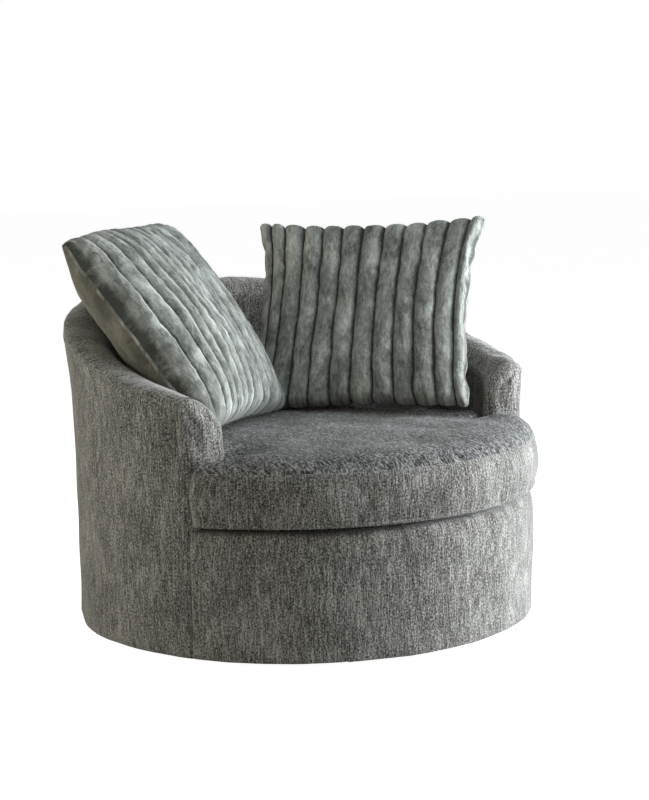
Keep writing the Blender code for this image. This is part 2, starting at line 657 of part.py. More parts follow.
def patch(first, last, start, end, rows):
    """Coons patch between two opposite edges and the two sides that join them."""
    columns = len(first)
    grid = np.zeros((rows + 1, columns, 2))
    u = np.linspace(0.0, 1.0, columns)[:, None]
    for r in range(rows + 1):
        v = r / rows
        ruled = (1.0 - v) * first + v * last
        sides = (1.0 - u) * start[r] + u * end[r]
        corners = (1.0 - v) * ((1.0 - u) * first[0] + u * first[-1]) + v * ((1.0 - u) * last[0] + u * last[-1])
        grid[r] = ruled + sides - corners
    return grid


def arc(radius, start, end, count):
    """Plan points on a circle between two angles."""
    angles = np.linspace(start, end, count)
    return np.stack([radius * np.sin(angles), -radius * np.cos(angles)], -1)


def cushion_plan():
    """Two patches of the T-shaped plan, the front one with its ears and the back one."""
    front = BARREL_RADIUS + CUSHION_PROUD
    back = INNER_RADIUS - CUSHION_BULGE - CUSHION_SIDE_GAP
    line = ARM_FRONT + CUSHION_BULGE + CUSHION_SIDE_GAP
    neck = math.sqrt(back ** 2 - line ** 2) - NOTCH_RELIEF
    tip = math.sqrt(front ** 2 - line ** 2) - 0.022
    middle = np.linspace(-neck, neck, 9)
    ear = neck + (tip - neck) * np.array([0.5, 1.0])
    x = np.concatenate([-ear[::-1], middle, ear])
    shared = np.stack([x, np.full(len(x), -line)], -1)
    front_arc = arc(front, -EAR_CORNER, EAR_CORNER, len(x))
    rows = 4
    share = np.linspace(0.0, 1.0, rows + 1)[:, None]
    left = (1.0 - share) * shared[0] + share * front_arc[0]
    right = (1.0 - share) * shared[-1] + share * front_arc[-1]
    left[:, 0] -= 0.010 * np.sin(np.pi * share[:, 0])
    right[:, 0] += 0.010 * np.sin(np.pi * share[:, 0])
    fore = patch(shared, front_arc, left, right, rows)
    turn = math.acos(line / back)
    corner = math.radians(140.0)
    left = arc(back, -turn, -corner, 7)
    right = arc(back, turn, corner, 7)
    left[0] = shared[2]
    right[0] = shared[-3]
    far = arc(back, -corner, -2.0 * math.pi + corner, 9)
    aft = patch(shared[2:-2], far, left, right, 6)
    return fore, aft


def seat_cushion():
    """T-shaped cushion from a coarse cage: crowned top and drawn-in, slightly bulged boxing."""
    fore, aft = cushion_plan()
    bm = bmesh.new()
    crease = bm.edges.layers.float.new("crease_edge")
    layers = [{}, {}]
    nodes = {}

    def key(x, y):
        return (round(float(x), 5), round(float(y), 5))

    for grid in (fore, aft):
        rows, columns = grid.shape[:2]
        for r in range(rows):
            for c in range(columns):
                nodes[key(*grid[r, c])] = True
    rim = []
    for c in range(fore.shape[1] - 1, -1, -1):
        rim.append(key(*fore[-1, c]))
    for r in range(fore.shape[0] - 2, -1, -1):
        rim.append(key(*fore[r, 0]))
    for c in (1, 2):
        rim.append(key(*fore[0, c]))
    for r in range(1, aft.shape[0]):
        rim.append(key(*aft[r, 0]))
    for c in range(1, aft.shape[1]):
        rim.append(key(*aft[-1, c]))
    for r in range(aft.shape[0] - 2, -1, -1):
        rim.append(key(*aft[r, -1]))
    for c in (fore.shape[1] - 2, fore.shape[1] - 1):
        rim.append(key(*fore[0, c]))
    for r in range(1, fore.shape[0] - 1):
        rim.append(key(*fore[r, -1]))
    outline = np.array(rim)
    starts = outline
    ends = np.roll(outline, -1, axis=0)

    def inset(x, y):
        """Distance of a plan point from the outline."""
        run = ends - starts
        along = np.clip(((np.array([x, y]) - starts) * run).sum(1) / (run ** 2).sum(1), 0.0, 1.0)
        near = starts + along[:, None] * run
        return float(np.sqrt(((np.array([x, y]) - near) ** 2).sum(1)).min())

    for x, y in nodes:
        depth = inset(x, y)
        swell = 1.0 - math.exp(-depth / CROWN_REACH)
        layers[0][(x, y)] = bm.verts.new((x, y, CUSHION_BOTTOM))
        layers[1][(x, y)] = bm.verts.new((x, y, CUSHION_SEAM + CUSHION_CROWN * swell))
    for grid in (fore, aft):
        for r in range(grid.shape[0] - 1):
            for c in range(grid.shape[1] - 1):
                corners = [key(*grid[r, c]), key(*grid[r, c + 1]), key(*grid[r + 1, c + 1]), key(*grid[r + 1, c])]
                for layer in layers:
                    bm.faces.new([layer[k] for k in corners])
    count = len(rim)
    waist = []
    for i in range(count):
        before = outline[i - 1]
        after = outline[(i + 1) % count]
        run = after - before
        out = np.array([-run[1], run[0]]) / np.linalg.norm(run)
        if i == 0:
            sign = 1.0 if float(out @ outline[i]) > 0.0 else -1.0
        at = outline[i] + sign * out * CUSHION_BULGE
        waist.append(bm.verts.new((at[0], at[1], CUSHION_BOTTOM + 0.5 * CUSHION_BOXING)))
    seams = []
    for i in range(count):
        j = (i + 1) % count
        low = [layers[0][rim[i]], layers[0][rim[j]]]
        high = [layers[1][rim[i]], layers[1][rim[j]]]
        bm.faces.new((low[0], low[1], waist[j], waist[i]))
        bm.faces.new((waist[i], waist[j], high[1], high[0]))
        seams.append(bm.edges.get(low))
        seams.append(bm.edges.get(high))
    for seam in seams:
        seam[crease] = 0.75
    bmesh.ops.recalc_face_normals(bm, faces=bm.faces)
    mesh = bpy.data.meshes.new("seat_cushion")
    bm.to_mesh(mesh)
    bm.free()
    obj = bpy.data.objects.new("seat_cushion", mesh)
    fine = obj.modifiers.new("Soft form", "SUBSURF")
    fine.levels = 1
    fine.render_levels = 1
    obj.data.shade_smooth()
    place(obj, seat_lift, CUSHION_FABRIC)


def pillow(name, at, facing, lean, spin, twist, parent):
    """Square pillow with rounded channels on its front and a plain back, from a coarse cage."""
    columns = 2 * CHANNELS
    rows = 6
    u = np.linspace(-1.0, 1.0, columns + 1)
    v = np.linspace(-1.0, 1.0, rows + 1)
    bm = bmesh.new()
    front = []
    back = []
    for r in range(rows + 1):
        front_row = []
        back_row = []
        for c in range(columns + 1):
            draw_x = 1.0 - PILLOW_EAR * (1.0 - v[r] ** 2)
            draw_y = 1.0 - PILLOW_EAR * (1.0 - u[c] ** 2)
            x = 0.5 * PILLOW_WIDTH * u[c] * draw_x
            y = 0.5 * PILLOW_HEIGHT * v[r] * draw_y
            bend = twist * u[c] * v[r]
            puff = math.sqrt(max(1.0 - abs(u[c]) ** 2.6, 0.0)) * math.sqrt(max(1.0 - abs(v[r]) ** 2.6, 0.0))
            half = 0.5 * PILLOW_SEAM + (0.5 * PILLOW_THICK - 0.5 * PILLOW_SEAM) * puff
            border = r in (0, rows) or c in (0, columns)
            if border:
                vert = bm.verts.new((x, bend, y))
                front_row.append(vert)
                back_row.append(vert)
                continue
            groove = CHANNEL_DEPTH if c % 2 == 0 else 0.0
            front_row.append(bm.verts.new((x, bend - half + groove * min(1.0, 3.0 * puff), y)))
            back_row.append(bm.verts.new((x, bend + half, y)))
        front.append(front_row)
        back.append(back_row)
    for r in range(rows):
        for c in range(columns):
            bm.faces.new((front[r][c], front[r][c + 1], front[r + 1][c + 1], front[r + 1][c]))
            bm.faces.new((back[r][c], back[r + 1][c], back[r + 1][c + 1], back[r][c + 1]))
    mesh = bpy.data.meshes.new(name)
    bm.to_mesh(mesh)
    bm.free()
    obj = bpy.data.objects.new(name, mesh)
    obj.location = at
    turn = Matrix.Rotation(facing, 3, "Z") @ Matrix.Rotation(-lean, 3, "X") @ Matrix.Rotation(spin, 3, "Y")
    obj.rotation_euler = turn.to_euler()
    fine = obj.modifiers.new("Soft form", "SUBSURF")
    fine.levels = 1
    fine.render_levels = 1
    obj.data.shade_smooth()
    place(obj, parent, PLUSH)


glides()
base_board()
swivel()
frame_floor()
posts()
rails()
springs()
flat_piece("deck_pad", deck_outline(), DECK_BOTTOM, DECK_TOP, swivel_axis, WADDING)
upholstery()
seat_cushion()
pillow("pillow_left", LEFT_PILLOW_AT, LEFT_PILLOW_FACING, LEFT_PILLOW_LEAN, LEFT_PILLOW_SPIN,
       LEFT_PILLOW_TWIST, left_pillow_lift)
pillow("pillow_right", RIGHT_PILLOW_AT, RIGHT_PILLOW_FACING, RIGHT_PILLOW_LEAN, RIGHT_PILLOW_SPIN,
       RIGHT_PILLOW_TWIST, right_pillow_lift)
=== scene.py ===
"""Looks of a round barrel swivel chair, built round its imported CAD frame.

Metres, +Z up, in the frame's axes: the origin lies on the floor at the swivel axis and
the front faces -Y. Angles run round the chair from the front (-Y) towards +X.
Cloth coordinates are metres along the fabric: u runs across its streaks, v along them.
"""

import json
import logging
import math
from dataclasses import dataclass
from enum import Enum
from typing import Any, Callable, Iterable, Sequence

import bmesh
import bpy
import numpy as np
from mathutils import Matrix, Vector


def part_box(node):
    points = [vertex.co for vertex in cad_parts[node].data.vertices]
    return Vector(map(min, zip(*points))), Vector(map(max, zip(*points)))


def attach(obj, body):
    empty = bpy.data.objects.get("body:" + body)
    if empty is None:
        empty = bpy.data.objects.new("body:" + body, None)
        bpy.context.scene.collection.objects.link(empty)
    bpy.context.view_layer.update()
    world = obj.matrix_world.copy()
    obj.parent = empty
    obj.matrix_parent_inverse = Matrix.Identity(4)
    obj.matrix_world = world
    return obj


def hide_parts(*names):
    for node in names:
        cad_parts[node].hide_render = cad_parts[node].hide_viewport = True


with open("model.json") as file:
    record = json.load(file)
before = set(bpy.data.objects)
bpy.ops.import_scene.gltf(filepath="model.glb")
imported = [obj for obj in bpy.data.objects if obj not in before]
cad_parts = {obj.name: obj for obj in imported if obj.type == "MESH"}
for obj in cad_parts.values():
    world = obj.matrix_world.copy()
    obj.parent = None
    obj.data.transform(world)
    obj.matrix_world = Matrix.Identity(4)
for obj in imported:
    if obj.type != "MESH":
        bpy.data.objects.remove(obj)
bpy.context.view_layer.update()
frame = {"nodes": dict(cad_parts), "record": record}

WELD = 2e-5
LOG = logging.getLogger("swivel_chair")
Array = np.ndarray
Colour = tuple[float, float, float]
Section = Callable[[Array], tuple[Array, Array]]


# ---------------------------------------------------------------- surfaces

def smooth_step(x: Array) -> Array:
    """Blend 3x^2 - 2x^3 of x held between 0 and 1."""
    t = np.clip(x, 0.0, 1.0)
    return t * t * (3.0 - 2.0 * t)


def bell(x: Array, width: float) -> Array:
    """Bell curve e^(-(x / width)^2)."""
    return np.exp(-(x / width) ** 2)


def outwards(points: Array) -> Array:
    """Unit directions in plan, away from the swivel axis."""
    return points[..., :2] / np.linalg.norm(points[..., :2], axis=-1)[..., None]


class SoftNoise:
    """Smooth noise of points in space: sum of a_k sin(k . p + phase), seeded and repeatable."""

    def __init__(self, seed: int, longest: float, shortest: float, waves: int = 24) -> None:
        """Draw the waves.

        Args:
            seed: seed of the wave directions and phases.
            longest: longest wavelength in metres.
            shortest: shortest wavelength in metres.
            waves: number of sine waves in the sum.
        """
        rng = np.random.default_rng(seed)
        direction = rng.normal(size=(waves, 3))
        direction /= np.linalg.norm(direction, axis=1)[:, None]
        length = longest * (shortest / longest) ** rng.random(waves)
        self.wave = direction * (2.0 * np.pi / length)[:, None]
        self.phase = rng.random(waves) * 2.0 * np.pi
        self.weight = (length / longest) ** 0.5
        self.weight /= np.sqrt(0.5 * (self.weight ** 2).sum())

    def __call__(self, points: Array) -> Array:
        """Evaluate the noise.

        Args:
            points: places of shape (..., 3).

        Returns:
            Values with mean 0 and spread about 1, one for each place.
        """
        flat = points.reshape(-1, 3)
        total = np.zeros(len(flat))
        for wave, phase, weight in zip(self.wave, self.phase, self.weight):
            total += weight * np.sin(flat @ wave + phase)
        return total.reshape(points.shape[:-1])


def catmull(points: Sequence[Sequence[float]], count: int, closed: bool = False) -> Array:
    """Catmull-Rom curve through control points, sampled evenly by chord length.

    Args:
        points: control points of any dimension.
        count: number of samples; a closed curve repeats its first point at the end.
        closed: whether the curve returns to its first point.

    Returns:
        Array of shape (count, dimension).
    """
    p = np.asarray(points, float)
    if closed:
        ring = np.vstack([p[-1], p, p[0], p[1]])
    else:
        ring = np.vstack([2.0 * p[0] - p[1], p, 2.0 * p[-1] - p[-2]])
    t = np.linspace(0.0, 1.0, 24, endpoint=False)[:, None]
    runs = []
    for a, b, c, d in zip(ring[:-3], ring[1:-2], ring[2:-1], ring[3:]):
        runs.append(0.5 * (2.0 * b + (c - a) * t + (2.0 * a - 5.0 * b + 4.0 * c - d) * t ** 2
                           + (3.0 * b - a - 3.0 * c + d) * t ** 3))
    dense = np.vstack(runs + [ring[-2][None]])
    step = run_length(dense)
    where = np.linspace(0.0, step[-1], count)
    return np.stack([np.interp(where, step, dense[:, k]) for k in range(dense.shape[1])], -1)


def run_length(points: Array) -> Array:
    """Distance along a polyline of shape (n, dimension), from its first point."""
    return np.concatenate([[0.0], np.cumsum(np.linalg.norm(np.diff(points, axis=0), axis=1))])


@dataclass
class Patch:
    """A grid of surface points with cloth coordinates, and the finish it takes.

    Attributes:
        points: array (rows, columns, 3) in metres.
        cloth: array (rows, columns, 2) in metres.
        flip: turn the faces over.
        slot: index of its finish on the piece.
    """

    points: Array
    cloth: Array
    flip: bool = False
    slot: int = 0


def quads(rows: int, columns: int, flip: bool) -> Array:
    """List the faces of a grid of points.

    Args:
        rows, columns: size of the grid.
        flip: whether the faces are turned over.

    Returns:
        Corner indices of shape (faces, 4).
    """
    a = (np.arange(rows - 1)[:, None] * columns + np.arange(columns - 1)[None, :]).ravel()
    face = np.stack([a, a + 1, a + columns + 1, a + columns], -1)
    return face[:, ::-1] if flip else face


def shell(outer: Array, inner: Array, cloth: Array, ends: bool = True) -> list[Patch]:
    """Close an outer and an inner skin into a thin shell.

    Args:
        outer: points of the outer skin, shape (rows, columns, 3).
        inner: points of the inner skin, of the same shape.
        cloth: cloth coordinates of both.
        ends: whether the first and last columns are closed too; a full ring needs none.

    Returns:
        The two skins and the strips along their borders.
    """
    columns = cloth.swapaxes(0, 1)
    patches = [Patch(outer, cloth), Patch(inner, cloth, flip=True),
               Patch(np.stack([inner[0], outer[0]]), cloth[[0, 0]]),
               Patch(np.stack([outer[-1], inner[-1]]), cloth[[-1, -1]])]
    if ends:
        patches += [Patch(np.stack([inner[:, 0], outer[:, 0]]), columns[[0, 0]], flip=True),
                    Patch(np.stack([inner[:, -1], outer[:, -1]]), columns[[-1, -1]])]
    return patches


def make_piece(name: str, patches: Iterable[Patch], finishes: Sequence[bpy.types.Material],
               caps: Iterable[Array] = ()) -> bpy.types.Object:
    """Join patches into one smooth mesh object with a cloth UV map.

    Args:
        name: name of the piece.
        patches: the surface grids; points closer than WELD become one.
        finishes: materials by slot index.
        caps: closed outlines of shape (n, 3), each filled with one face.

    Returns:
        The object at the origin, linked to the scene.
    """
    patches = list(patches)
    points, faces, cloth, slots = [], [], [], []
    base = 0
    for patch in patches:
        rows, columns = patch.points.shape[:2]
        face = quads(rows, columns, patch.flip)
        points.append(patch.points.reshape(-1, 3))
        faces.append(face + base)
        cloth.append(patch.cloth.reshape(-1, 2)[face.ravel()])
        slots.append(np.full(len(face), patch.slot))
        base += rows * columns
    co = np.vstack(points).astype(np.float32)
    face = np.vstack(faces).astype(np.int32)
    mesh = bpy.data.meshes.new(name)
    mesh.vertices.add(len(co))
    mesh.vertices.foreach_set("co", co.ravel())
    mesh.loops.add(face.size)
    mesh.loops.foreach_set("vertex_index", face.ravel())
    mesh.polygons.add(len(face))
    mesh.polygons.foreach_set("loop_start", np.arange(0, face.size, 4, dtype=np.int32))
    mesh.polygons.foreach_set("material_index", np.concatenate(slots).astype(np.int32))
    mesh.update(calc_edges=True)
    layer = mesh.uv_layers.new(name="cloth")
    layer.data.foreach_set("uv", np.vstack(cloth).astype(np.float32).ravel())
    bm = bmesh.new()
    bm.from_mesh(mesh)
    for outline in caps:
        bm.faces.new([bm.verts.new(p) for p in outline])
    bmesh.ops.remove_doubles(bm, verts=bm.verts, dist=WELD)
    bm.to_mesh(mesh)
    bm.free()
    mesh.shade_smooth()
    for material in finishes:
        mesh.materials.append(material)
    obj = bpy.data.objects.new(name, mesh)
    bpy.context.scene.collection.objects.link(obj)
    LOG.info("%s: %d faces", name, len(mesh.polygons))
    return obj


# ---------------------------------------------------------------- finishes

class Graph:
    """Adds and links shader nodes of one material or world."""

    def __init__(self, owner: bpy.types.Material | bpy.types.World) -> None:
        """Start on the nodes that a new material or world has.

        Args:
            owner: the material or world.
        """
        owner.use_nodes = True
        self.owner = owner
        self.tree = owner.node_tree
        self.shader = self.tree.nodes.get("Principled BSDF")

    def node(self, kind: str, values: dict[int | str, Any] | None = None, **fields: Any) -> bpy.types.Node:
        """Add a node, set its fields, and set or link its inputs.

        Args:
            kind: node type without the ShaderNode prefix.
            values: input name or index to a value or an output socket.
            fields: properties of the node.

        Returns:
            The node.
        """
        made = self.tree.nodes.new("ShaderNode" + kind)
        for key, value in fields.items():
            setattr(made, key, value)
        for key, value in (values or {}).items():
            self.feed(made.inputs[key], value)
        return made

    def feed(self, socket: bpy.types.NodeSocket, value: Any) -> None:
        """Link an output to a socket, or set the socket's own value.

        Args:
            socket: the input.
            value: an output socket or a value.
        """
        if isinstance(value, bpy.types.NodeSocket):
            self.tree.links.new(value, socket)
        else:
            socket.default_value = value

    def math(self, operation: str, a: Any, b: Any = 0.0, c: Any = 0.0) -> bpy.types.NodeSocket:
        """One Math node."""
        return self.node("Math", {0: a, 1: b, 2: c}, operation=operation).outputs[0]

    def blend(self, parts: Sequence[tuple[Any, float]]) -> bpy.types.NodeSocket:
        """Weighted sum of sockets.

        Args:
            parts: the sockets and their weights.

        Returns:
            Output with the sum.
        """
        total = self.math("MULTIPLY", *parts[0])
        for part, weight in parts[1:]:
            total = self.math("MULTIPLY_ADD", part, weight, total)
        return total

    def noise(self, vector: Any, scale: Sequence[float], detail: float = 2.0, roughness: float = 0.5,
              distortion: float = 0.0, shift: float = 0.0) -> bpy.types.NodeSocket:
        """Add noise of coordinates that are scaled per axis.

        Args:
            vector: coordinates in metres.
            scale: features per metre along each axis.
            detail, roughness, distortion: inputs of the Noise Texture node.
            shift: move of the coordinates, which makes one noise differ from another.

        Returns:
            Output with the noise.
        """
        mapped = self.node("Mapping", {"Vector": vector, "Scale": tuple(scale), "Location": (shift,) * 3})
        found = self.node("TexNoise", {"Vector": mapped.outputs[0], "Scale": 1.0, "Detail": detail,
                                       "Roughness": roughness, "Distortion": distortion})
        return found.outputs[0]

    def ramp(self, factor: Any, stops: Sequence[tuple[float, Sequence[float]]]) -> bpy.types.NodeSocket:
        """Add a colour ramp.

        Args:
            factor: what the ramp reads.
            stops: pairs of a position and a colour.

        Returns:
            Output with the colour.
        """
        made = self.node("ValToRGB", {0: factor})
        elements = made.color_ramp.elements
        while len(elements) < len(stops):
            elements.new(0.5)
        for element, (position, colour) in zip(elements, stops):
            element.position = position
            element.color = (*colour, 1.0)
        return made.outputs[0]

    def bump(self, height: Any, strength: float, distance: float) -> bpy.types.NodeSocket:
        """Normal bumped by a height."""
        return self.node("Bump", {"Height": height, "Strength": strength, "Distance": distance}).outputs[0]

    def seen(self) -> bpy.types.NodeSocket:
        """Tell the rays of the camera, of mirrors and of glass from the light on things.

        Returns:
            A socket that is 1 for the first and 0 for the second.
        """
        rays = self.node("LightPath").outputs
        either = self.math("MAXIMUM", rays["Is Camera Ray"], rays["Is Glossy Ray"])
        return self.math("MAXIMUM", either, rays["Is Transmission Ray"])

    def set(self, **values: Any) -> None:
        """Set or link inputs of the shader; underscores stand for spaces."""
        for key, value in values.items():
            self.feed(self.shader.inputs[key.replace("_", " ")], value)


def srgb(r: float, g: float, b: float) -> Colour:
    """Convert a colour to the renderer's linear values.

    Args:
        r, g, b: red, green and blue as in a picture file, 0 to 255.

    Returns:
        The linear colour.
    """
    levels = np.array([r, g, b]) / 255.0
    linear = np.where(levels <= 0.04045, levels / 12.92, ((levels + 0.055) / 1.055) ** 2.4)
    return tuple(float(x) for x in linear)


@dataclass(frozen=True)
class Chenille:
    """Pile fabric with fine irregular streaks along v and soft mottling.

    Attributes:
        name: name of the material.
        dark, middle, light: colours of the valleys, the body and the raised yarn.
        streak: streaks per metre across u.
        along: streaks per metre along v.
        sheen: how much the pile lightens at grazing angles.
    """

    name: str
    dark: Colour
    middle: Colour
    light: Colour
    streak: float = 240.0
    along: float = 24.0
    sheen: float = 0.35

    def build(self) -> bpy.types.Material:
        """Make the material.

        Returns:
            The material.
        """
        g = Graph(bpy.data.materials.new(self.name))
        uv = g.node("UVMap", uv_map="cloth").outputs[0]
        sway = g.noise(uv, (9.0, 26.0, 1.0), detail=2.0)
        aside = g.node("CombineXYZ", {0: g.math("MULTIPLY", g.math("SUBTRACT", sway, 0.5), 0.012)})
        cloth = g.node("VectorMath", {0: uv, 1: aside.outputs[0]}, operation="ADD").outputs[0]
        grain = g.noise(cloth, (self.streak * 1.2, self.streak * 0.85, 1.0), detail=1.0, distortion=0.6)
        streak = g.noise(cloth, (self.streak * 1.15, self.along, 1.0), detail=1.0, roughness=0.5, shift=3.0)
        ridge = g.noise(cloth, (self.streak * 0.30, self.along / 3.0, 1.0), detail=3.0, roughness=0.6,
                        shift=7.0)
        patch = g.noise(uv, (11.0, 6.0, 1.0), detail=3.0, roughness=0.6, distortion=0.6, shift=11.0)
        crack = g.math("ABSOLUTE", g.math("SUBTRACT", ridge, 0.5))
        crack = g.node("MapRange", {0: crack, 1: 0.0, 2: 0.035, 3: 1.0, 4: 0.0}).outputs[0]
        mix = g.blend([(grain, 0.46), (streak, 0.26), (ridge, 0.14), (patch, 0.14), (crack, -0.030)])
        tone = g.ramp(mix, [(0.395, self.dark), (0.49, self.middle), (0.60, self.light)])
        normal = g.bump(g.blend([(streak, 0.45), (grain, 0.55), (crack, -0.25)]), 0.35, 0.005)
        g.set(Base_Color=tone, Roughness=0.95, Normal=normal, Sheen_Weight=self.sheen, Sheen_Roughness=0.4,
              Specular_IOR_Level=0.15)
        return g.owner


@dataclass(frozen=True)
class Plush:
    """Short fur in sewn channels, with soft light and dark patches along each channel and painted shade in
    the grooves between channels.

    Attributes:
        name: name of the material.
        dark, middle, light: colours of the patches.
        channel: width of one channel in metres, 0 for plain cloth.
    """

    name: str
    dark: Colour
    middle: Colour
    light: Colour
    channel: float = 0.05

    def build(self) -> bpy.types.Material:
        """Make the material.

        Returns:
            The material.
        """
        g = Graph(bpy.data.materials.new(self.name))
        uv = g.node("UVMap", uv_map="cloth").outputs[0]
        split = g.node("SeparateXYZ", {0: uv})
        if self.channel > 0.0:
            place = g.math("DIVIDE", split.outputs[0], self.channel)
            number = g.math("FLOOR", place)
            jump = g.node("TexWhiteNoise", {"W": number}, noise_dimensions="1D").outputs[0]
            along = g.math("MULTIPLY_ADD", jump, 0.35, split.outputs[1])
            where = g.node("CombineXYZ", {0: split.outputs[0], 1: along}).outputs[0]
        else:
            where = uv
        patch = g.noise(where, (22.0, 9.0, 1.0), detail=4.0, roughness=0.62, distortion=0.6)
        tuft = g.noise(where, (150.0, 40.0, 1.0), detail=3.0, roughness=0.6, distortion=1.0, shift=4.0)
        hair = g.noise(where, (820.0, 210.0, 1.0), detail=2.0, roughness=0.6, distortion=1.5, shift=9.0)
        mix = g.blend([(patch, 0.50), (tuft, 0.30), (hair, 0.20)])
        if self.channel > 0.0:
            # Painted shade: the colour darkens towards each groove between the channels, where shade falls.
            across = g.math("ABSOLUTE", g.math("SUBTRACT", g.math("FRACT", place), 0.5))
            groove_shade = g.node("MapRange", {0: across, 1: 0.38, 2: 0.49, 3: 0.0, 4: 1.0}).outputs[0]
            mix = g.math("MULTIPLY_ADD", groove_shade, -0.17, mix)
        tone = g.ramp(mix, [(0.37, self.dark), (0.50, self.middle), (0.62, self.light)])
        normal = g.bump(g.blend([(tuft, 0.6), (hair, 0.4)]), 0.6, 0.004)
        g.set(Base_Color=tone, Roughness=0.9, Normal=normal, Sheen_Weight=0.2, Sheen_Roughness=0.4,
              Specular_IOR_Level=0.1)
        return g.owner


@dataclass(frozen=True)
class Hard:
    """Finish of a rigid hidden piece: grain or brushing along one axis and small wear.

    Attributes:
        name: name of the material.
        dark, light: colours of the grain.
        roughness, metallic: inputs of the shader.
        scale: grains per metre along each axis.
        relief: depth of the grain in metres.
    """

    name: str
    dark: Colour
    light: Colour
    roughness: float
    metallic: float = 0.0
    scale: tuple[float, float, float] = (60.0, 4.0, 60.0)
    relief: float = 0.0003

    def build(self) -> bpy.types.Material:
        """Make the material.

        Returns:
            The material.
        """
        g = Graph(bpy.data.materials.new(self.name))
        place = g.node("TexCoord").outputs["Object"]
        grain = g.noise(place, self.scale, detail=4.0, roughness=0.6, distortion=0.8)
        wear = g.noise(place, (9.0, 9.0, 9.0), detail=3.0, shift=5.0)
        mix = g.blend([(grain, 0.65), (wear, 0.35)])
        tone = g.ramp(mix, [(0.38, self.dark), (0.62, self.light)])
        rough = g.math("MULTIPLY_ADD", wear, 0.2, self.roughness - 0.1)
        normal = g.bump(grain, 0.4, self.relief)
        g.set(Base_Color=tone, Roughness=rough, Metallic=self.metallic, Normal=normal)
        return g.owner


class Cloths(Enum):
    """The fabrics of the chair."""

    # Painted shade: the inside pad takes the body chenille made darker, for the shade inside the barrel.
    INSIDE = Chenille("inside_shaded_chenille", srgb(43, 43, 40), srgb(92, 92, 88), srgb(152, 152, 148))
    BODY = Chenille("body_chenille", srgb(54, 54, 51), srgb(112, 112, 109), srgb(176, 176, 173))
    CUSHION = Chenille("cushion_chenille", srgb(52, 52, 49), srgb(108, 108, 105), srgb(172, 172, 169))
    # Painted shade: the cushion's top is the cushion chenille made darker and a little cooler, with coarser
    # streaks and less sheen.
    CUSHION_TOP_SHADED = Chenille("cushion_top_shaded_chenille", srgb(38, 39, 39), srgb(92, 93, 93), srgb(160, 162, 162),
                           streak=175.0, along=42.0, sheen=0.08)
    FUR = Plush("channel_plush", srgb(78, 82, 79), srgb(141, 145, 141), srgb(192, 197, 193))
    FUR_BACK = Plush("plain_plush", srgb(88, 88, 80), srgb(112, 111, 101), srgb(140, 138, 128), channel=0.0)
    DUST = Chenille("dust_cloth", srgb(18, 18, 19), srgb(28, 28, 30), srgb(44, 44, 46), streak=500.0)


class Metals(Enum):
    """The hidden rigid finishes, by the record's slot."""

    PLYWOOD = Hard("plywood", srgb(176, 142, 98), srgb(222, 196, 152), 0.75)
    WOOD = Hard("frame_wood", srgb(150, 112, 72), srgb(204, 168, 122), 0.75, scale=(40.0, 40.0, 3.0))
    ZINC = Hard("zinc_steel", srgb(168, 170, 172), srgb(206, 208, 210), 0.35, 1.0,
                (300.0, 300.0, 20.0), 0.0001)
    BLACK = Hard("black_steel", srgb(26, 26, 28), srgb(48, 48, 51), 0.5, 0.4,
                 (200.0, 200.0, 200.0), 0.0001)
    SPRING = Hard("spring_steel", srgb(70, 70, 72), srgb(118, 117, 116), 0.4, 1.0,
                  (30.0, 200.0, 200.0), 0.0001)
    NYLON = Hard("nylon", srgb(22, 22, 23), srgb(44, 44, 46), 0.6, 0.0, (150.0, 150.0, 150.0), 0.0001)


FINISH: dict[str, bpy.types.Material] = {}


def finish(kind: Enum) -> bpy.types.Material:
    """Make the material of a finish, or find it if it is made.

    Args:
        kind: one of the cloths or metals.

    Returns:
        Its material.
    """
    if kind.name not in FINISH:
        FINISH[kind.name] = kind.value.build()
    return FINISH[kind.name]


# ---------------------------------------------------------------- barrel

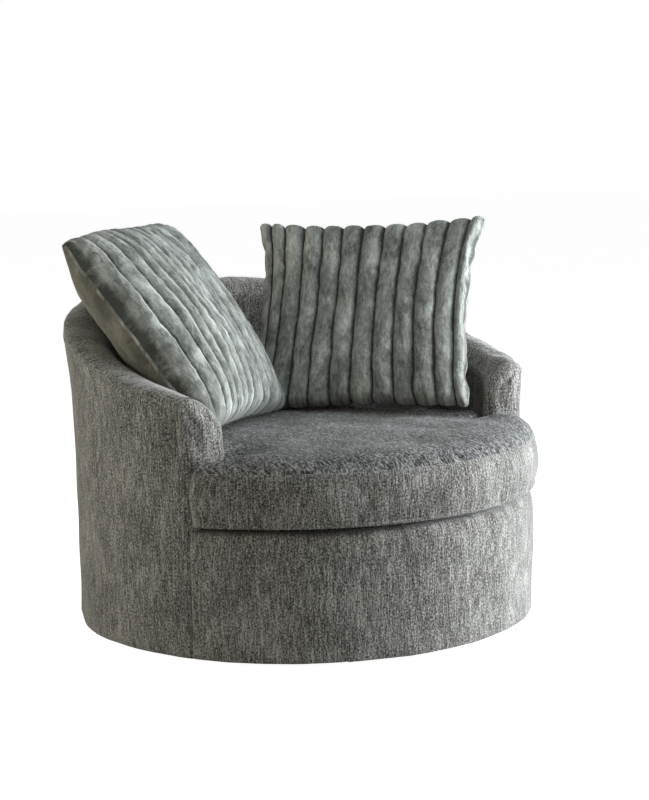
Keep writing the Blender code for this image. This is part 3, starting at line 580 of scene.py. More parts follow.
@dataclass(frozen=True)
class Barrel:
    """Sizes of the barrel, as in the CAD, and the surfaces that follow from them.

    Attributes:
        radius: outside radius of the cover at its foot.
        waist, flare, flare_start: how far the cover draws in at mid height and opens out above.
        hem: level of the cover's lower edge.
        arm_angle: angle of the arms' fronts from the chair's front.
        arm_height, back_height, ease: levels of the rim's seam, and the exponent of its rise.
        inner, lean: radius of the inside pad, and how far it leans out at the top.
        crown: height of the roll over the seam.
        frame: radius of the wooden frame that the cover is pulled over.
        ring_top: level of the seat ring.
        corner: depth of the arms' padded fronts.
        settle: how far the rim has sunk right of the seat.
        end_length: run of the arm's rounded end along the rim.
    """

    radius: float = 0.600
    waist: float = 0.0012
    flare: float = 0.019
    flare_start: float = 0.480
    hem: float = 0.012
    arm_angle: float = math.radians(64.0)
    arm_height: float = 0.630
    back_height: float = 0.847
    ease: float = 0.69
    inner: float = 0.497
    lean: float = 0.008
    crown: float = 0.011
    frame: float = 0.5942
    ring_top: float = 0.2803
    corner: float = 0.020
    settle: float = 0.013
    end_length: float = 0.070

    @property
    def front(self) -> float:
        """Distance of the arms' front plane from the axis."""
        return self.radius * math.cos(self.arm_angle)

    def rim(self, angle: Array) -> Array:
        """Work out the level of the outer seam.

        It is arm + (back - arm) (1 - cos(pi s^ease)) / 2, where s is the share of the way from
        the arm's front to the back. Right of the seat it sinks by up to settle.

        Args:
            angle: angles round the chair.

        Returns:
            The levels.
        """
        from_arm = math.pi - np.abs(angle - math.pi) - self.arm_angle
        s = np.clip(from_arm / (math.pi - self.arm_angle), 0.0, 1.0)
        rise = (self.back_height - self.arm_height) * 0.5 * (1.0 - np.cos(np.pi * s ** self.ease))
        return self.arm_height + rise - self.settle * bell(angle - 1.58, 0.36)

    def outer(self, z: Array) -> Array:
        """Radius of the cover at a level: a slight waist, then a soft flare up to the rim."""
        rise = smooth_step((z - self.flare_start) / (self.back_height - 0.03 - self.flare_start))
        return self.radius - self.waist * bell(z - 0.40, 0.12) + self.flare * rise

    def sweep(self, section: Section, count: int, plane: float, low: float | None = None
              ) -> tuple[Array, Array, Array]:
        """Sweep a section round the wall.

        The angle at radius r is a + share (2 pi - 2 a) with a = acos(plane / r), so all ends
        lie in the plane y = -plane.

        Args:
            section: gives (radius, z) arrays of shape (points, stations) for the stations' angles.
            count: number of stations.
            plane: distance of the end plane from the axis.
            low: distance of the end plane under the cushion, where it differs.

        Returns:
            Points (rows, stations, 3), the stations' middle angles, and the angles of all points.
        """
        share = np.linspace(0.0, 1.0, count)
        first = math.acos(plane / self.radius)
        middle = first + share * (2.0 * np.pi - 2.0 * first)
        radius, z = section(middle)
        reach = plane if low is None else low + (plane - low) * smooth_step((z - 0.298) / 0.034)
        start = np.arccos(reach / radius)
        angle = start + share[None, :] * (2.0 * np.pi - 2.0 * start)
        points = np.stack([radius * np.sin(angle), -radius * np.cos(angle), z], -1)
        return points, middle, angle

    def to_end(self, angle: Array) -> Array:
        """Arc distance of each station from the nearer end of its row."""
        return self.radius * np.minimum(angle - angle[..., :1], angle[..., -1:] - angle)

    def end_share(self, angle: Array) -> Array:
        """Share of the arm-end form at each station."""
        return smooth_step(1.0 - self.to_end(angle) / self.end_length)

    def inside_radius(self, z: Array, top: Array, end: Array) -> Array:
        """Radius of the inside pad, which leans out above and swells in at the arms' fronts."""
        lean = self.lean * np.clip(((z - self.ring_top) / (top - self.ring_top) - 0.5) * 2.0, 0.0, 1.0)
        return self.inner + lean - 0.012 * end * smooth_step((z - 0.44) / 0.06)

    def roll_section(self, count: int, end: Array) -> tuple[Array, Array]:
        """Section of the roll: share of the width from the outer seam, and height over the seam.

        Args:
            count: number of points of the section.
            end: share of the arm-end form for each station.

        Returns:
            Two arrays of shape (count, stations).
        """
        k = self.crown
        rim = catmull([(-0.003, -0.008), (0.0, 0.0), (0.03, 0.45 * k), (0.12, 0.85 * k),
                       (0.26, 1.02 * k), (0.42, 0.97 * k), (0.58, 0.60 * k), (0.72, -0.1 * k),
                       (0.84, -1.3 * k), (0.93, -2.5 * k), (0.985, -0.036), (1.0, -0.045),
                       (0.985, -0.0462)], count)
        arm = catmull([(-0.003, -0.028), (0.0, -0.020), (0.012, -0.010), (0.05, -0.001), (0.12, 0.0060),
                       (0.24, 0.0100), (0.36, 0.0095), (0.50, 0.0040), (0.62, -0.0050), (0.74, -0.0175),
                       (0.85, -0.033), (0.94, -0.049), (0.987, -0.062), (1.0, -0.073),
                       (0.985, -0.0742)], count)
        both = rim[:, None, :] + (arm - rim)[:, None, :] * np.atleast_1d(end)[None, :, None]
        return both[..., 0], both[..., 1]

    def press(self, points: Array, gap: float) -> Array:
        """Move points that lie in the wall or its roll out of it, by the shorter way.

        The wall's section is taken as a box with rounded top edges; a point goes along the
        gradient of the distance to it.

        Args:
            points: places of shape (..., 3).
            gap: distance at which the points stop.

        Returns:
            The moved points.
        """
        x, y, z = points[..., 0], points[..., 1], points[..., 2]
        radius = np.hypot(x, y)
        level = self.rim(np.mod(np.arctan2(x, -y), 2.0 * np.pi)) + self.crown - 0.001
        low = self.inner + self.lean * smooth_step((z - 0.45) / 0.2)
        high = self.outer(level)
        soft = 0.036
        across = np.abs(radius - 0.5 * (low + high)) - (0.5 * (high - low) - soft)
        over = z - (level - soft)
        both = (across > 0.0) & (over > 0.0)
        away = np.where(both, np.hypot(across, over), np.maximum(across, over)) - soft
        length = np.hypot(np.maximum(across, 1e-9), np.maximum(over, 1e-9))
        side = np.where(both, across / length, (across >= over) * 1.0)
        rise = np.where(both, over / length, (across < over) * 1.0)
        shift = np.clip(gap - away, 0.0, None)
        inward = np.sign(radius - 0.5 * (low + high)) * side * shift
        moved = points.copy()
        moved[..., 0] += x / radius * inward
        moved[..., 1] += y / radius * inward
        moved[..., 2] += rise * shift
        return moved


BARREL = Barrel()


class Upholstery:
    """Fabric of the barrel: cover, roll, inside pad, arm fronts, front band and deck."""

    def __init__(self, barrel: Barrel) -> None:
        """Keep the barrel's sizes and draw the noises of its padding.

        Args:
            barrel: sizes of the barrel.
        """
        self.barrel = barrel
        self.lump = SoftNoise(11, 0.42, 0.10)
        self.pull = SoftNoise(12, 0.16, 0.035)
        self.tail = barrel.front - barrel.corner

    def build(self) -> None:
        """Make every piece and let it ride on the turning body."""
        pieces = [
            (self.cover(), ["outer_cover"]),
            (self.roll(), ["rim_roll_right", "rim_roll_back", "rim_roll_left"]),
            (self.inside(), ["inner_pad"]),
            (self.arm_front(1.0), ["arm_front_right"]),
            (self.arm_front(-1.0), ["arm_front_left"]),
            (self.band(), ["front_band"]),
            (self.deck(), ["deck_pad"]),
        ]
        for piece, nodes in pieces:
            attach(piece, "chair")
            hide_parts(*nodes)

    def cloth_round(self, angle: Array, z: Array) -> Array:
        """Cloth coordinates of a wall: arc length at the barrel's radius, and height."""
        return np.stack([self.barrel.radius * angle, z], -1)

    @staticmethod
    def pleats(angle: Array, z: Array) -> Array:
        """Form small tucks where the hem is turned under, which fade out upwards.

        Args:
            angle: angles of the stations.
            z: levels of the points.

        Returns:
            Radial offsets of the shape of z.
        """
        total = np.zeros(z.shape)
        low = bell(z - 0.012, 0.016)
        for at, deep in ((-0.483, 0.0045), (0.62, 0.0020), (1.9, 0.0028), (3.3, 0.0030), (4.5, 0.0025)):
            run = 0.6 * (np.mod(angle - at + np.pi, 2.0 * np.pi) - np.pi)
            fold = bell(run, 0.0035) - 0.55 * bell(run - 0.009, 0.006)
            total -= deep * low * fold
        return total

    def cover(self) -> bpy.types.Object:
        """Make the outside cover, turned under at the hem and in at the rim's seam.

        Returns:
            The piece.
        """
        b = self.barrel
        rows = 110

        def section(angle: Array) -> tuple[Array, Array]:
            """Place the points of the cover.

            Args:
                angle: angles of the stations.

            Returns:
                Radius and level of each point at each station.
            """
            end = b.end_share(angle)
            top = b.rim(angle) - 0.0015 - 0.020 * end
            share = np.linspace(0.0, 1.0, rows)[:, None] ** 0.85
            z = b.hem + share * (top - b.hem)[None, :]
            below = top[None, :] - z
            tuck = -0.0045 * np.clip(1.0 - below / 0.007, 0.0, 1.0) ** 2
            puff = 0.0022 * bell(below - 0.020, 0.012)
            turn = -0.004 * np.clip(1.0 - (z - b.hem) / 0.005, 0.0, 1.0) ** 2
            return b.outer(z) + (tuck + puff) * (1.0 - end)[None, :] + turn, z

        points, middle, angle = b.sweep(section, 520, self.tail, b.front + 0.0008)
        radial = outwards(points)
        near_top = np.clip(1.0 - (b.rim(middle)[None, :] - points[..., 2]) / 0.06, 0.0, 1.0)
        swell = 0.0016 * self.lump(points) + 0.0006 * self.pull(points * np.array([1.0, 1.0, 0.25]))
        swell = np.maximum(swell * (1.0 - 0.7 * near_top), -0.0022)
        to_end = b.to_end(angle)
        below = 1.0 - smooth_step((points[..., 2] - 0.300) / 0.035)
        swell = swell * np.clip(to_end / 0.05, 0.0, 1.0) - 0.0042 * below * np.exp(-to_end / 0.004)
        swell += self.pleats(middle, points[..., 2])
        points[..., :2] += radial * swell[..., None]
        inner = points.copy()
        reach = np.linalg.norm(points[..., :2], axis=-1)
        inner[..., :2] = radial * np.minimum(np.maximum(reach - 0.0045, b.frame), reach - 0.0012)[..., None]
        cloth = self.cloth_round(angle, points[..., 2])
        return make_piece("cover_fabric", shell(points, inner, cloth), [finish(Cloths.BODY)])

    def roll(self) -> bpy.types.Object:
        """Make the padded roll along the rim, its streaks running across it.

        Returns:
            The piece.
        """
        b = self.barrel
        count = 64

        def section(angle: Array) -> tuple[Array, Array]:
            """Place the points of the roll.

            Args:
                angle: angles of the stations.

            Returns:
                Radius and level of each point at each station.
            """
            end = b.end_share(angle)
            share, height = b.roll_section(count, end)
            level = b.rim(angle)
            outer = b.outer(level - 0.020 * end)
            inner = b.inner + b.lean - 0.012 * end
            return outer[None, :] - share * (outer - inner)[None, :], level[None, :] + height

        points, middle, _ = b.sweep(section, 560, self.tail)
        end = b.end_share(middle)
        crest = np.clip((points[..., 2] - b.rim(middle) + 0.02) / 0.03, 0.0, 1.0) * (1.0 - end)
        slope = np.gradient(b.rim(middle), middle) / b.radius
        points[..., 2] += crest * (0.0018 * self.lump(points) + 0.0009 * self.pull(points)
                                   + 0.0014 * np.abs(slope)[None, :] * self.pull(points * 1.7))
        share, height = b.roll_section(count, np.zeros(1))
        across = run_length(np.stack([share[:, 0] * 0.105, height[:, 0]], -1))
        along = b.radius * middle
        cloth = np.stack(np.broadcast_arrays(along[None, :], across[:, None] + 0.37), -1)
        patches = [Patch(points, cloth), Patch(points[[0, -1]], cloth[[0, -1]], flip=True)]
        caps = [points[:, 0], points[:, -1]]
        return make_piece("rim_roll_fabric", patches, [finish(Cloths.BODY)], caps=caps)

    def inside(self) -> bpy.types.Object:
        """Make the inside back and arm pad, from the seat ring up to the roll.

        Returns:
            The piece.
        """
        b = self.barrel
        rows = 70

        def section(angle: Array) -> tuple[Array, Array]:
            """Place the points of the pad.

            Args:
                angle: angles of the stations.

            Returns:
                Radius and level of each point at each station.
            """
            end = b.end_share(angle)
            top = b.rim(angle) - 0.043 - 0.028 * end
            share = np.linspace(0.0, 1.0, rows)[:, None]
            z = b.ring_top + share * (top - b.ring_top)[None, :]
            return b.inside_radius(z, top[None, :], end[None, :]), z

        points, middle, angle = b.sweep(section, 420, self.tail)
        radial = outwards(points)
        to_edge = b.rim(middle)[None, :] - 0.043 - points[..., 2]
        calm = np.clip(to_edge / 0.06, 0.0, 1.0) * np.clip(b.to_end(middle) / 0.05, 0.0, 1.0)
        dents = 0.0016 * self.lump(points) + 0.0008 * self.pull(points)
        points[..., :2] -= radial * (calm * dents)[..., None]
        back = points.copy()
        back[..., :2] += 0.020 * radial
        cloth = self.cloth_round(angle, points[..., 2])
        # Painted shade: the inside pad takes the darker copy of the body chenille.
        return make_piece("inside_fabric", shell(back, points, cloth), [finish(Cloths.INSIDE)])

    def arm_outline(self, level: float) -> tuple[Array, Array, Array, Array]:
        """Trace an arm's front up the outer wall, over the top and down the inner wall.

        Args:
            level: level of the rim's seam at the arm's front.

        Returns:
            For each point its radius, its level, its part of the way over the top, and an arch
            over the top that is 0 on both walls.
        """
        b = self.barrel
        share, height = (a[:, 0] for a in b.roll_section(67, np.ones(1)))
        keep = np.flatnonzero(height >= -0.0205)[0]
        share, height = share[keep:], height[keep:]
        if len(share) % 2 == 0:
            share, height = share[1:], height[1:]
        outer = float(b.outer(np.array(level - 0.020)))
        inner = b.inner + b.lean - 0.012
        low = b.ring_top + 0.004
        rows = 64
        wall_z = np.linspace(low, level + height[0] - 0.0008, rows)
        back_z = np.linspace(level + height[-1] - 0.0008, low, rows)
        radii = np.concatenate([b.outer(wall_z), outer - share * (outer - inner),
                                b.inside_radius(back_z, level - 0.071, 1.0)])
        levels = np.concatenate([wall_z, level + height, back_z])
        part = np.concatenate([np.zeros(rows), smooth_step(share * 1.3), np.ones(rows)])
        over = np.concatenate([np.zeros(rows), np.sin(np.pi * np.clip(share, 0.0, 1.0)), np.zeros(rows)])
        return radii, levels, part, over

    def arm_front(self, side: float) -> bpy.types.Object:
        """Make the padded front of an arm, which rounds over its corners and closes as a dome.

        A point p of the outline and its partner across share one point c of the middle line. From
        p the cloth goes forwards by D (sin t)^(2/n) and towards c by w (1 - (cos t)^(2/n)), t up
        to a right angle, and then on to c over a small crown. Cloth coordinates unroll each such
        line from c outwards.

        Args:
            side: 1 for the right arm, -1 for the left one.

        Returns:
            The piece.
        """
        start = math.acos(self.tail / self.barrel.radius)
        level = float(self.barrel.rim(np.array(start)))
        radii, levels, part, over = self.arm_outline(level)
        soft = (0.036 - 0.004 * part + 0.008 * over)[:, None]
        power = (2.0 + 0.2 * part)[:, None]
        turn = np.linspace(0.0, 0.5 * np.pi, 22)[None, :]
        flat = np.linspace(0.0, 1.0, 26)[None, 1:]
        depth = 0.026
        forward = np.concatenate([depth * np.sin(turn) ** (2.0 / power), depth + 0.0 * flat * soft], 1)
        y = self.tail + forward
        x_all = np.sqrt(radii ** 2 - self.tail ** 2)
        centre = (0.5 * (x_all + x_all[::-1]))[:, None]
        centre_z = np.minimum(0.5 * (levels + levels[::-1]), level - 0.048)[:, None]
        span = np.hypot(centre - x_all[:, None], centre_z - levels[:, None])
        first = soft * (1.0 - np.abs(np.cos(turn)) ** (2.0 / power)) / span
        edge = soft / span
        move = np.concatenate([first, edge + (1.0 - edge) * flat], 1)
        x = x_all[:, None] + (centre - x_all[:, None]) * move
        z = levels[:, None] + (centre_z - levels[:, None]) * move
        points = np.stack([side * x, -y, z], -1)
        crown = np.concatenate([0.0 * turn, 1.0 - (1.0 - flat) ** 2], 1)
        face = np.clip(forward / depth, 0.0, 1.0) ** 3
        dimple = np.exp(-((x - 0.538) ** 2 / (2 * 0.007 ** 2) + (z - 0.606) ** 2 / (2 * 0.010 ** 2)))
        points[..., 1] -= crown * (0.002 + 0.007 * smooth_step((z - 0.505) / 0.05))
        lumps = 0.0012 * self.lump(points) + 0.0006 * self.pull(points)
        points[..., 1] += face * ((0.0035 - 0.0025 * side) * dimple - lumps)
        points[::-1][: len(points) // 2, -1] = points[: len(points) // 2, -1]
        length = np.concatenate([np.zeros((len(x), 1)),
                                 np.cumsum(np.linalg.norm(np.diff(points, axis=1), axis=-1), axis=1)], 1)
        left = length[:, -1:] - length
        toward = np.stack([x_all - centre[:, 0], levels - centre_z[:, 0]], -1)
        toward /= np.linalg.norm(toward, axis=1)[:, None]
        cloth = np.stack([side * (centre + toward[:, 0:1] * left), centre_z + toward[:, 1:2] * left], -1)
        name = "arm_front_fabric_right" if side > 0 else "arm_front_fabric_left"
        caps = [points[:, 0], np.vstack([points[0], points[-1, ::-1][1:]])]
        return make_piece(name, [Patch(points, cloth, flip=side < 0)], [finish(Cloths.BODY)], caps=caps)

    def band(self) -> bpy.types.Object:
        """Make the front band under the cushion, from the hem up and over onto the deck.

        Returns:
            The piece.
        """
        b = self.barrel
        line = catmull([(-0.005, 0.0135), (-0.003, 0.0122), (0.0, 0.018), (0.0, 0.06), (0.0, 0.16),
                        (0.0, 0.25), (0.0, 0.285), (-0.001, 0.302), (-0.005, 0.316), (-0.012, 0.3225),
                        (-0.024, 0.325), (-0.038, 0.325)], 120)
        count = 380
        share = np.linspace(-1.0, 1.0, count)
        radius = b.radius + line[:, 0:1]
        reach = np.arccos(b.front / radius) + 0.0 * share
        angle = share[None, :] * reach
        z = np.broadcast_to(line[:, 1:2], angle.shape)
        points = np.stack([radius * np.sin(angle), -radius * np.cos(angle), z], -1)
        edge = np.clip((1.0 - np.abs(share)) / 0.012, 0.0, 1.0)
        level = line[:, 1:2]
        pucker = -0.004 * (1.0 - edge[None, :]) ** 2
        swell = 0.0014 * self.lump(points) + 0.0006 * self.pull(points * np.array([1.0, 1.0, 0.25]))
        swell += 0.0030 * smooth_step((level - 0.10) / 0.08) * (1.0 - smooth_step((level - 0.27) / 0.05))
        swell += self.pleats(angle[0], z)
        radial = outwards(points)
        points[..., :2] += radial * (swell * edge[None, :] + pucker)[..., None]
        inner = points.copy()
        inner[..., :2] -= 0.004 * radial
        inner[..., 2] -= 0.004 * smooth_step((level - 0.30) / 0.02)
        cloth = np.stack([b.radius * angle, np.broadcast_to(run_length(line)[:, None], angle.shape)], -1)
        return make_piece("front_band_fabric", shell(points, inner, cloth), [finish(Cloths.BODY)])

    def deck(self) -> bpy.types.Object:
        """Make the deck pad under the cushion, drawn down at its edge.

        Returns:
            The piece.
        """
        b = self.barrel
        low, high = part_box("deck_pad")
        line = b.front + 0.001
        front, back = 0.5590, 0.4945
        reach, turn = math.acos(line / front), math.acos(line / back)
        fore = np.linspace(-reach, reach, 120)
        aft = np.linspace(turn, 2.0 * np.pi - turn, 220)
        outline = np.vstack([np.stack([front * np.sin(fore), -front * np.cos(fore)], -1),
                             np.stack([back * np.sin(aft), -back * np.cos(aft)], -1)])
        outline = np.vstack([outline, outline[:1]])
        middle = np.array([0.0, -0.30])
        q = np.linspace(0.0, 1.0, 40) ** 0.7
        plan = middle + (outline[None] - middle) * q[:, None, None]
        edge = np.clip((1.0 - q) / 0.12, 0.0, 1.0)
        top = high.z - 0.006 * (1.0 - np.sqrt(1.0 - (1.0 - edge) ** 2))
        points = np.dstack([plan, np.broadcast_to(top[:, None], plan.shape[:2])])
        points[..., 2] -= 0.0004 * np.abs(self.pull(points))
        floor = points.copy()
        floor[..., 2] = low.z
        wall = np.stack([floor[-1], points[-1]])
        patches = [Patch(points, plan, flip=True), Patch(floor, plan), Patch(wall, plan[[-1, -1]])]
        return make_piece("deck_fabric", patches, [finish(Cloths.BODY)])


# ---------------------------------------------------------------- loose cushion

@dataclass(frozen=True)
class CushionForm:
    """Sizes of the T-shaped seat cushion.

    Attributes:
        front, back: radii of its front and back arcs.
        line: distance of its ears' back edges from the axis, towards the front.
        relief: how much the necks stay clear of the arms.
        bottom, boxing, crown: level of the underside, height of the sides, and rise of the top.
        bulge: how far the sides swell out.
        ear_reach, ear_round: how far the ears stand out past the front arc, and their corner.
    """

    front: float = 0.604
    back: float = 0.487
    line: float = 0.2730
    relief: float = 0.012
    bottom: float = 0.3366
    boxing: float = 0.138
    crown: float = 0.046
    bulge: float = 0.012
    ear_reach: float = 0.008
    ear_round: float = 0.018


class SeatCushion:
    """Loose T-shaped cushion: crowned top, boxing between two seams, flat underside."""

    def __init__(self, form: CushionForm) -> None:
        """Keep the sizes and draw the noises of the filling.

        Args:
            form: sizes of the cushion.
        """
        self.form = form
        self.lump = SoftNoise(21, 0.50, 0.16)
        self.crease = SoftNoise(22, 0.10, 0.03)

    def outline(self, count: int) -> Array:
        """Draw the plan outline through the front arc, the ears, the necks and the back arc.

        Args:
            count: number of points; the last one repeats the first.

        Returns:
            Points of shape (count, 2).
        """
        f = self.form
        neck = math.sqrt(f.back ** 2 - f.line ** 2) - f.relief
        reach = f.front + f.ear_reach
        ear_y = f.line + f.ear_round
        ear_x = math.sqrt((reach - f.ear_round) ** 2 - ear_y ** 2)
        corner = math.atan2(ear_x, ear_y)

        line = []
        for a in np.linspace(-corner, corner, 45)[1:-1]:
            radius = f.front + f.ear_reach * float(smooth_step((abs(a) / corner - 0.75) / 0.25))
            line.append((radius * math.sin(a), -radius * math.cos(a)))
        ear = [(ear_x + f.ear_round * math.sin(a), -ear_y - f.ear_round * math.cos(a))
               for a in np.linspace(corner, math.pi, 7)]
        ear += [(ear_x - 0.045, -f.line), (neck + 0.026, -f.line - 0.001), (neck + 0.008, -f.line + 0.006),
                (neck + 0.002, -f.line + 0.024)]
        line += ear
        turn = math.acos(f.line / f.back)
        line += [(f.back * math.sin(a), -f.back * math.cos(a))
                 for a in np.linspace(turn + 0.11, 2.0 * math.pi - turn - 0.11, 61)]
        line += [(-x, y) for x, y in reversed(ear)]
        return catmull(line, count, closed=True)

    def rise(self, depth: Array) -> Array:
        """Height over the seam: 0.66 c (1 - e^(-d / 28 mm)) + 0.34 c (1 - e^(-d / 150 mm))."""
        c = self.form.crown
        return 0.66 * c * (1.0 - np.exp(-depth / 0.028)) + 0.34 * c * (1.0 - np.exp(-depth / 0.150))

    def swell(self, plan: Array, depth: Array) -> Array:
        """Lumps of the filling, and the edge that is pressed up beside the right arm.

        The pressed edge is 0.030 e^(-((x - 0.425) / 0.06)^2), growing towards the front and
        cut down to 0.4 of itself past y = -0.32.

        Args:
            plan: points seen from above, shape (..., 2).
            depth: their distance from the outline.

        Returns:
            Heights to add, one for each point.
        """
        x, y = plan[..., 0], plan[..., 1]
        along = smooth_step((-0.10 - y) / 0.15) * (1.0 - 0.6 * smooth_step((-0.285 - y) / 0.035))
        push = 0.030 * bell(x - 0.425, 0.06) * along
        lump = 0.0028 * self.lump(np.stack([x, y, 0.49 + 0.0 * x], -1)) * (1.0 - np.exp(-depth / 0.05))
        return lump + push * (1.0 - np.exp(-depth / 0.008))

    def carry(self, points: Array, gap: float) -> Array:
        """Lift points that would lie in the cushion's top up to just above it.

        Args:
            points: places of shape (..., 3).
            gap: how far over the top they come to lie.

        Returns:
            The moved points.
        """
        f = self.form
        moved = points.copy()
        flat = moved.reshape(-1, 3)
        near = np.flatnonzero(flat[:, 2] < f.bottom + f.boxing + f.crown + 0.012)
        if len(near):
            line = self.outline(300)[:-1]
            depth = self.distance(flat[near, None, :2], line)[:, 0]
            level = f.bottom + f.boxing - 0.006 + self.rise(depth)
            level += self.swell(flat[near, :2], depth)
            inside = np.hypot(flat[near, 0], flat[near, 1]) < f.back
            lifted = np.maximum(flat[near, 2], level + gap)
            flat[near, 2] = np.where(inside, lifted, flat[near, 2])
        return flat.reshape(points.shape)

    def build(self) -> bpy.types.Object:
        """Make the cushion and let it ride on its body.

        Returns:
            The piece.
        """
        f = self.form
        line = self.outline(900)
        out = self.normals(line)
        seam = f.bottom + f.boxing
        middle = np.array([0.0, -0.35])
        q = np.concatenate([np.linspace(0.0, 0.9, 80), np.linspace(0.9, 1.0, 50)[1:]])
        plan = middle + (line[None] - middle) * q[:, None, None]
        depth = self.distance(plan, line[:-1])
        top = np.dstack([plan, seam - 0.006 + self.rise(depth) + self.swell(plan, depth)])
        angle = np.arctan2(line[:, 0], -line[:, 1])
        show = 1.0 - 0.75 * smooth_step((angle + 0.55) / 0.9)
        top[..., 2] -= 0.0016 * bell(depth, 0.0035) * show[None, :]
        pucker = self.crease(np.dstack([line[:, 0], line[:, 1], 0.0 * angle])[0] * 1.4)
        top[..., 2] += 0.0010 * pucker[None, :] * bell(depth - 0.006, 0.008)
        side = 0.5 * (1.0 - np.cos(np.linspace(0.0, np.pi, 76)))
        belly = (f.bulge * np.sin(np.pi * side) ** 0.8 + 0.004 * (1.0 - side) ** 10
                 + 0.0016 * bell(side - 0.035, 0.018) - 0.0016 * bell(side - 0.085, 0.022)
                 - 0.0012 * bell(side - 0.99, 0.02))
        rows = line[None] + out[None] * belly[:, None, None]
        level = f.bottom + 0.002 + side * (f.boxing - 0.008)
        wall = np.dstack([rows, np.broadcast_to(level[:, None], rows.shape[:2])])
        ripple = 0.0010 * self.crease(wall * np.array([1.0, 1.0, 0.25])) + 0.0022 * self.lump(wall * 1.6)
        for at, deep in ((-0.98, 0.0022), (-0.50, 0.0018), (0.35, 0.0014)):
            ripple -= deep * bell((angle - at) * f.front, 0.012)[None, :]
        wall[..., :2] += out[None] * (ripple * np.sin(np.pi * side)[:, None])[..., None]
        base = np.dstack([plan, np.full(plan.shape[:2], f.bottom + 0.0004)])
        base[..., 2] += 0.0016 * np.clip(1.0 - depth / 0.012, 0.0, 1.0) ** 2
        wall[0] = base[-1]
        wall[-1] = top[-1]
        cloth_wall = np.stack(np.broadcast_arrays(run_length(line)[None], side[:, None] * f.boxing + 0.5), -1)
        # Painted shade: the top takes the darker, cooler copy of the cushion chenille.
        piece = make_piece("seat_cushion_fabric",
                           [Patch(top, plan, slot=1), Patch(base, plan, flip=True), Patch(wall, cloth_wall)],
                           [finish(Cloths.CUSHION), finish(Cloths.CUSHION_TOP_SHADED)])
        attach(piece, "cushion")
        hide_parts("seat_cushion")
        return piece

    @staticmethod
    def normals(line: Array) -> Array:
        """Work out the outward normals of the outline, smoothed along it.

        Args:
            line: closed outline; the last point repeats the first.

        Returns:
            Directions in plan, of about unit length, one for each point.
        """
        run = np.roll(line[:-1], -1, axis=0) - np.roll(line[:-1], 1, axis=0)
        out = np.stack([-run[:, 1], run[:, 0]], -1)
        out = -out / np.linalg.norm(out, axis=1)[:, None]
        if (out * line[:-1]).sum() < 0.0:
            out = -out
        for _ in range(6):
            out = (np.roll(out, 1, axis=0) + 2.0 * out + np.roll(out, -1, axis=0)) / 4.0
        return np.vstack([out, out[:1]])

    @staticmethod
    def distance(plan: Array, line: Array) -> Array:
        """Measure plan points from the closed outline, by its nearest segment.

        Args:
            plan: points of shape (rows, columns, 2).
            line: points of the outline, its first one not repeated.

        Returns:
            Distances of shape (rows, columns).
        """
        flat = plan.reshape(-1, 2)
        best = np.full(len(flat), 9.0)
        ends = np.roll(line, -1, axis=0)
        for a, b in zip(line, ends):
            run = b - a
            t = np.clip(((flat - a) @ run) / (run @ run), 0.0, 1.0)
            best = np.minimum(best, np.linalg.norm(flat - a - t[:, None] * run, axis=1))
        return best.reshape(plan.shape[:2])


# ---------------------------------------------------------------- pillows

@dataclass(frozen=True)
class PillowForm:
    """Size, place and pose of one channelled pillow.

    Attributes:
        name: the CAD node it stands for.
        at: its middle.
        facing, lean, spin: turns Rz(facing) Rx(-lean) Ry(spin) from its own axes, in degrees.
        twist: how far opposite corners stand out of its plane.
        width, height: size from seam to seam.
        front, back: how far the cloth stands out on either side.
        ear: share by which the sides pull in between the corners.
        pulls: (x, z) moves of the lower left, lower right, upper left and upper right corner.
        seed: seed of its noises.
        ribs: relative widths of the channels.
        seam, groove: thickness at the border, and how far the ribs stand over their grooves.
    """

    name: str
    at: tuple[float, float, float]
    facing: float
    lean: float
    spin: float
    twist: float
    width: float
    height: float
    front: float
    back: float
    ear: float
    pulls: tuple[tuple[float, float], ...]
    seed: int
    ribs: tuple[float, ...]
    seam: float = 0.008
    groove: float = 0.023

    def matrix(self) -> Array:
        """Turn from the pillow's own axes to the frame's.

        Returns:
            Rotation matrix of shape (3, 3).
        """
        return np.array(Matrix.Rotation(math.radians(self.facing), 3, "Z")
                        @ Matrix.Rotation(-math.radians(self.lean), 3, "X")
                        @ Matrix.Rotation(math.radians(self.spin), 3, "Y"))

    @property
    def channels(self) -> int:
        """Number of channels."""
        return len(self.ribs)

    def grooves(self) -> Array:
        """Shares of the width at the grooves."""
        return np.concatenate([[0.0], np.cumsum(self.ribs)]) / sum(self.ribs)


